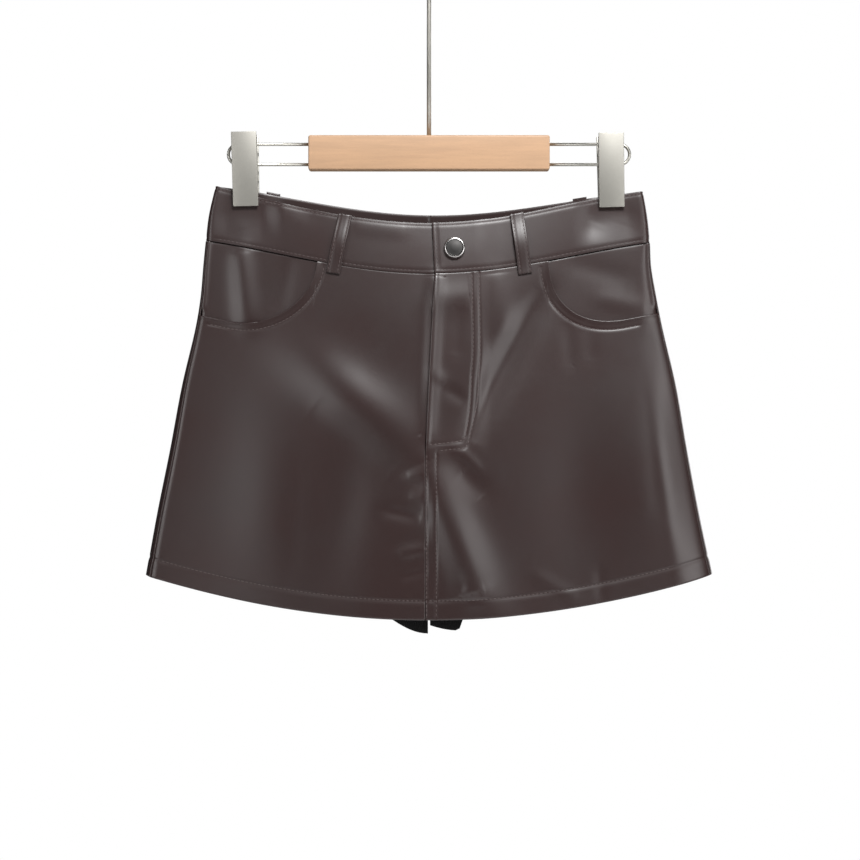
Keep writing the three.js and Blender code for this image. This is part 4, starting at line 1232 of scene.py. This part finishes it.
def jersey_finish(colour):
    material, nodes, shader, place = new_finish("Shorts jersey")
    pattern = nodes.add("ShaderNodeAttribute", {"attribute_name": "pattern"}).outputs["Vector"]
    ribs = nodes.add(
        "ShaderNodeTexWave", {"wave_type": "BANDS", "bands_direction": "X"},
        Vector=pattern, Scale=160.0, Distortion=1.2, Detail=2.0, Detail_Scale=4.0,
    )
    tone = group_node(nodes, mottle(), Vector=place, Scale=25.0, Dark=shade(colour, 0.8), Light=shade(colour, 1.3))
    nodes.feed(shader.inputs["Base Color"], tone.outputs["Color"])
    raised = nodes.add("ShaderNodeBump", Strength=0.5, Distance=0.0004, Height=ribs.outputs["Fac"])
    nodes.feed(shader.inputs["Normal"], raised.outputs[0])
    shader.inputs["Roughness"].default_value = 0.9
    shader.inputs["Sheen Weight"].default_value = 0.08
    shader.inputs["Specular IOR Level"].default_value = 0.2
    return material


def beech_finish(colour):
    material, nodes, shader, place = new_finish("Beech")
    stretched = nodes.add("ShaderNodeMapping", Vector=place, Scale=(5.0, 60.0, 60.0)).outputs[0]
    bands = nodes.add("ShaderNodeTexNoise", Vector=stretched, Scale=4.0, Detail=5.0, Roughness=0.6)
    flecks_at = nodes.add("ShaderNodeMapping", Vector=place, Scale=(380.0, 2600.0, 2600.0)).outputs[0]
    flecks = nodes.add("ShaderNodeTexNoise", Vector=flecks_at, Scale=1.0, Detail=2.0)
    base = nodes.blend(nodes.span(bands.outputs[0], 0.35, 0.65), shade(colour, 0.92), shade(colour, 1.06))
    dark = nodes.span(flecks.outputs[0], 0.6, 0.72, 0.0, 0.3)
    nodes.feed(shader.inputs["Base Color"], nodes.blend(dark, base, shade(colour, 0.6)))
    nodes.feed(shader.inputs["Roughness"], nodes.span(bands.outputs[0], 0.3, 0.7, 0.5, 0.4))
    raised = nodes.add("ShaderNodeBump", Strength=0.15, Distance=0.0003, Height=flecks.outputs[0])
    nodes.feed(shader.inputs["Normal"], raised.outputs[0])
    return material


def metal_finish(name, colour, roughness, metallic=1.0):
    material, nodes, shader, place = new_finish(name)
    tone = group_node(nodes, mottle(), Vector=place, Scale=120.0, Dark=shade(colour, 0.94), Light=shade(colour, 1.05))
    nodes.feed(shader.inputs["Base Color"], tone.outputs["Color"])
    nodes.feed(
        shader.inputs["Roughness"], nodes.span(tone.outputs["Mask"], 0.0, 1.0, roughness + 0.03, roughness - 0.02)
    )
    shader.inputs["Metallic"].default_value = metallic
    return material


def plain_finish(name, colour):
    material, nodes, shader, place = new_finish(name)
    tone = group_node(nodes, mottle(), Vector=place, Scale=2.0, Dark=shade(colour, 0.98), Light=shade(colour, 1.0))
    nodes.feed(shader.inputs["Base Color"], tone.outputs["Color"])
    shader.inputs["Roughness"].default_value = 0.8
    return material


def zip_finish(colour):
    material, nodes, shader, place = new_finish("Zip tape and teeth")
    pattern = nodes.add("ShaderNodeAttribute", {"attribute_name": "pattern"}).outputs["Vector"]
    parts = nodes.add("ShaderNodeSeparateXYZ", Vector=pattern).outputs
    away = nodes.math("ABSOLUTE", nodes.math("SUBTRACT", parts["X"], 0.014))
    teeth_row = nodes.span(away, 0.0028, 0.003, 1.0, 0.0)
    pitch = nodes.math("SINE", nodes.math("MULTIPLY", parts["Y"], 3600.0))
    tooth = nodes.math("MULTIPLY", teeth_row, nodes.span(pitch, -0.2, 0.2))
    tape = group_node(nodes, mottle(), Vector=place, Scale=400.0, Dark=shade(colour, 0.7), Light=shade(colour, 1.3))
    nodes.feed(shader.inputs["Base Color"], nodes.blend(tooth, tape.outputs["Color"], (0.35, 0.33, 0.3, 1)))
    nodes.feed(shader.inputs["Metallic"], tooth)
    nodes.feed(shader.inputs["Roughness"], nodes.span(tooth, 0.0, 1.0, 0.85, 0.35))
    raised = nodes.add("ShaderNodeBump", Strength=0.8, Distance=0.0006, Height=tooth)
    nodes.feed(shader.inputs["Normal"], raised.outputs[0])
    return material


# ---- what a user may change ----


class SkirtSizes(bpy.types.PropertyGroup):
    stitch_pitch: bpy.props.FloatProperty(
        name="Stitch pitch", description="From one stitch of the topstitching to the next",
        default=0.0034, min=0.002, max=0.006, unit="LENGTH", precision=4,
    )
    stitch_length: bpy.props.FloatProperty(
        name="Stitch length", description="Length of the thread that shows in each stitch",
        default=0.0026, min=0.001, max=0.005, unit="LENGTH", precision=4,
    )
    thread_thickness: bpy.props.FloatProperty(
        name="Thread thickness", description="Thickness of the sewing thread",
        default=0.0006, min=0.0002, max=0.0015, unit="LENGTH", precision=4,
    )


class SkirtColours(bpy.types.PropertyGroup):
    leather: bpy.props.FloatVectorProperty(
        name="Leather", description="Colour of the faux leather", default=(0.024, 0.0118, 0.011),
        size=3, min=0, max=1, subtype="COLOR",
    )
    backing: bpy.props.FloatVectorProperty(
        name="Backing", description="Colour of the leather's knitted back", default=(0.03, 0.024, 0.022),
        size=3, min=0, max=1, subtype="COLOR",
    )
    thread: bpy.props.FloatVectorProperty(
        name="Thread", description="Colour of the sewing thread", default=(0.075, 0.052, 0.05),
        size=3, min=0, max=1, subtype="COLOR",
    )
    jersey: bpy.props.FloatVectorProperty(
        name="Jersey", description="Colour of the inner shorts", default=(0.006, 0.006, 0.006),
        size=3, min=0, max=1, subtype="COLOR",
    )
    beech: bpy.props.FloatVectorProperty(
        name="Beech", description="Colour of the hanger's bar", default=(0.46, 0.285, 0.17),
        size=3, min=0, max=1, subtype="COLOR",
    )
    nickel: bpy.props.FloatVectorProperty(
        name="Nickel", description="Colour of the hook, the wires and the clips",
        default=(0.52, 0.505, 0.46), size=3, min=0, max=1, subtype="COLOR",
    )
    silver: bpy.props.FloatVectorProperty(
        name="Silver", description="Colour of the button's rim", default=(0.6, 0.58, 0.57),
        size=3, min=0, max=1, subtype="COLOR",
    )


def finishes(context):
    """The materials, made once and kept by name."""
    colours = context.scene.skirt_colours
    makers = {
        "Leather": lambda name: leather_finish(name, colours.leather),
        "Backing": lambda name: leather_finish(name, colours.backing, 0.8, 0.3),
        "Thread": lambda name: leather_finish(name, colours.thread, 0.6, 0.1),
        "Shorts jersey": lambda name: jersey_finish(colours.jersey),
        "Beech": lambda name: beech_finish(colours.beech),
        "Nickel": lambda name: metal_finish(name, colours.nickel, 0.36),
        "Pressed nickel": lambda name: metal_finish(name, shade(colours.nickel, 0.85), 0.5),
        "Silver": lambda name: metal_finish(name, colours.silver, 0.22),
        "Dark dome": lambda name: metal_finish(name, shade(colours.silver, 0.09), 0.5),
        "Zip tape and teeth": lambda name: zip_finish(colours.backing),
    }
    return lambda name: bpy.data.materials.get(name) or makers[name](name)


# ---- operators ----

SIDE_OF = {"left": -1, "right": 1}


class SKIRT_OT_panels(bpy.types.Operator):
    """Cuts and sews the two front and two back panels"""

    bl_idname = "skirt.panels"
    bl_label = "Panels"

    def execute(self, context):
        finish = finishes(context)
        materials = [finish("Leather"), finish("Backing")]
        for name, side in SIDE_OF.items():
            front_panel(side, f"front_{name}", materials, context.scene.skirt_sizes)
            back_panel(side, f"back_{name}", materials, context.scene.skirt_sizes)
        return {"FINISHED"}


class SKIRT_OT_waistband(bpy.types.Operator):
    """Cuts and sews the waistband's two halves"""

    bl_idname = "skirt.waistband"
    bl_label = "Waistband"

    def execute(self, context):
        finish = finishes(context)
        for name, side in SIDE_OF.items():
            waistband(side, f"waistband_{name}", [finish("Leather")], context.scene.skirt_sizes)
        return {"FINISHED"}


class SKIRT_OT_pockets(bpy.types.Operator):
    """Lays the facings inside the scoop pockets"""

    bl_idname = "skirt.pockets"
    bl_label = "Pocket facings"

    def execute(self, context):
        finish = finishes(context)
        for name, side in SIDE_OF.items():
            pocket_facing(side, f"pocket_facing_{name}", [finish("Leather"), finish("Backing")])
        return {"FINISHED"}


class SKIRT_OT_fly(bpy.types.Operator):
    """Lays the zip and its shield behind the fly"""

    bl_idname = "skirt.fly"
    bl_label = "Zip and shield"

    def execute(self, context):
        finish = finishes(context)
        behind = SHIELD["behind"]
        fly_strip(
            "fly_zip", [finish("Zip tape and teeth")],
            lambda drop: fly_edge(drop) + FLY_UNDERLAP + GAP,
            lambda drop: fly_edge(drop) + FLY_UNDERLAP + GAP + ZIP_WIDTH,
            ZIP_LENGTH, TAPE, 0,
        )
        fly_strip(
            "fly_shield", [finish("Leather"), finish("Backing")],
            lambda drop: 0 * drop + SHIELD["from"], lambda drop: 0 * drop + SHIELD["to"],
            SHIELD["length"], -behind, -behind - SHIELD["depth"],
        )
        return {"FINISHED"}


class SKIRT_OT_belt_loops(bpy.types.Operator):
    """Sews four belt loops to the waistband"""

    bl_idname = "skirt.belt_loops"
    bl_label = "Belt loops"

    def execute(self, context):
        finish = finishes(context)
        sizes = context.scene.skirt_sizes
        for name, side in SIDE_OF.items():
            for face, places, turn_at, rise, below in (
                ("front", FRONT_LOOPS[side], front_turn, LOOP["rise"], LOOP["below"]),
                ("back", BACK_LOOPS[side], back_turn, LOOP["back_rise"], LOOP["back_below"]),
            ):
                belt_loop(
                    side, f"belt_loop_{face}_{name}", places, turn_at, rise, below,
                    [finish("Leather")], sizes,
                )
        return {"FINISHED"}


class SKIRT_OT_button(bpy.types.Operator):
    """Fixes the metal button to the waistband"""

    bl_idname = "skirt.button"
    bl_label = "Button"

    def execute(self, context):
        finish = finishes(context)
        button_piece([finish("Silver"), finish("Dark dome")])
        return {"FINISHED"}


class SKIRT_OT_shorts(bpy.types.Operator):
    """Hangs the inner shorts inside the skirt"""

    bl_idname = "skirt.shorts"
    bl_label = "Inner shorts"

    def execute(self, context):
        finish = finishes(context)
        for name, side in SIDE_OF.items():
            shorts_half(side, f"shorts_{name}", [finish("Shorts jersey")])
        return {"FINISHED"}


class SKIRT_OT_hanger(bpy.types.Operator):
    """Makes the hanger's hook, wooden bar and wire loops"""

    bl_idname = "skirt.hanger"
    bl_label = "Hanger"

    def execute(self, context):
        finish = finishes(context)
        hook_piece(finish("Nickel"))
        bar_piece(finish("Beech"))
        for name, side in SIDE_OF.items():
            wire_piece(side, f"wire_{name}", finish("Nickel"))
        return {"FINISHED"}


class SKIRT_OT_clips(bpy.types.Operator):
    """Presses the two clips that hold the waistband"""

    bl_idname = "skirt.clips"
    bl_label = "Clips"

    def execute(self, context):
        finish = finishes(context)
        for name, side in SIDE_OF.items():
            for face in ("front", "back"):
                clip_piece(side, face == "front", f"clip_{name}_{face}", finish("Pressed nickel"))
        return {"FINISHED"}


FLOOR_Z = -1.05
CAMERA_PLACE = (0.00081, -1.5, -0.4063)
# Soft boxes: name, place, what it points at, size, watts.
LAMPS = (
    ("Top", (0.35, -1.08, 0.76), (0.0, 0, -0.4), (0.6, 0.4), 33),
    ("Right", (1.05, -1.0, -0.4), (0.05, 0, -0.4), (0.6, 1.1), 6.6),
    ("Left", (-1.0, -1.08, -0.3), (-0.05, 0, -0.4), (0.45, 1.1), 5.6),
    ("Back", (-0.3, 1.5, 0.6), (0, 0, -0.4), (1.2, 0.8), 14),
    ("Back right", (1.2, 1.0, -0.3), (0.05, 0, -0.4), (0.4, 1.1), 6),
)


class SKIRT_OT_stage(bpy.types.Operator):
    """Lays a pale floor and sets the soft lights and the camera"""

    bl_idname = "skirt.stage"
    bl_label = "Stage"

    def execute(self, context):
        scene = context.scene
        bm = bmesh.new()
        bmesh.ops.create_circle(
            bm, cap_ends=True, segments=96, radius=1.15, matrix=Matrix.Translation((0, 0, FLOOR_Z))
        )
        mesh = bpy.data.meshes.new("floor")
        bm.to_mesh(mesh)
        bm.free()
        mesh.materials.append(plain_finish("Pale floor", (0.9, 0.9, 0.9)))
        floor = bpy.data.objects.new("floor", mesh)
        scene.collection.objects.link(floor)
        for name, place, target, size, watts in LAMPS:
            light = bpy.data.lights.new(name, "AREA")
            light.shape, light.energy = "RECTANGLE", watts
            light.size, light.size_y = size
            lamp = bpy.data.objects.new(name, light)
            lamp.location = place
            lamp.rotation_euler = (Vector(target) - Vector(place)).to_track_quat("-Z", "Y").to_euler()
            scene.collection.objects.link(lamp)
        world = bpy.data.worlds.new("Studio")
        world.use_nodes = True
        nodes = Nodes(world.node_tree)
        lit = world.node_tree.nodes["Background"]
        lit.inputs["Color"].default_value = (1, 1, 1, 1)
        seen = nodes.add("ShaderNodeLightPath").outputs["Is Camera Ray"]
        nodes.feed(lit.inputs["Strength"], nodes.span(seen, 0.0, 1.0, 0.05, 1.0))
        scene.world = world
        scene.view_settings.view_transform = "Standard"
        camera = bpy.data.cameras.new("Photo angle")
        camera.sensor_width, camera.lens = 36.0, 77.5
        placed = bpy.data.objects.new("Photo angle", camera)
        placed.location = CAMERA_PLACE
        placed.rotation_euler = (math.pi / 2, 0, 0)
        scene.collection.objects.link(placed)
        scene.camera = placed
        return {"FINISHED"}


OPERATORS = (
    SKIRT_OT_panels, SKIRT_OT_waistband, SKIRT_OT_pockets, SKIRT_OT_fly, SKIRT_OT_belt_loops,
    SKIRT_OT_button, SKIRT_OT_shorts, SKIRT_OT_hanger, SKIRT_OT_clips, SKIRT_OT_stage,
)


class SKIRT_PT_pieces(bpy.types.Panel):
    """Lists the skirt's sizes, colours and pieces"""

    bl_idname = "SKIRT_PT_pieces"
    bl_label = "Leather skirt"
    bl_space_type = "VIEW_3D"
    bl_region_type = "UI"
    bl_category = "Skirt"

    def draw(self, context):
        for group in (context.scene.skirt_sizes, context.scene.skirt_colours):
            box = self.layout.box()
            for name in group.__annotations__:
                box.prop(group, name)
        for operator in OPERATORS:
            self.layout.operator(operator.bl_idname)


CLASSES = (SkirtSizes, SkirtColours, *OPERATORS, SKIRT_PT_pieces)


def register():
    for found in CLASSES:
        bpy.utils.register_class(found)
    bpy.types.Scene.skirt_sizes = bpy.props.PointerProperty(type=SkirtSizes)
    bpy.types.Scene.skirt_colours = bpy.props.PointerProperty(type=SkirtColours)


def unregister():
    del bpy.types.Scene.skirt_sizes
    del bpy.types.Scene.skirt_colours
    for found in reversed(CLASSES):
        bpy.utils.unregister_class(found)


def main():
    register()
    bpy.ops.skirt.panels()
    bpy.ops.skirt.waistband()
    bpy.ops.skirt.pockets()
    bpy.ops.skirt.fly()
    bpy.ops.skirt.belt_loops()
    bpy.ops.skirt.button()
    bpy.ops.skirt.shorts()
    bpy.ops.skirt.hanger()
    bpy.ops.skirt.clips()
    bpy.ops.skirt.stage()


if __name__ == "__main__":
    main()
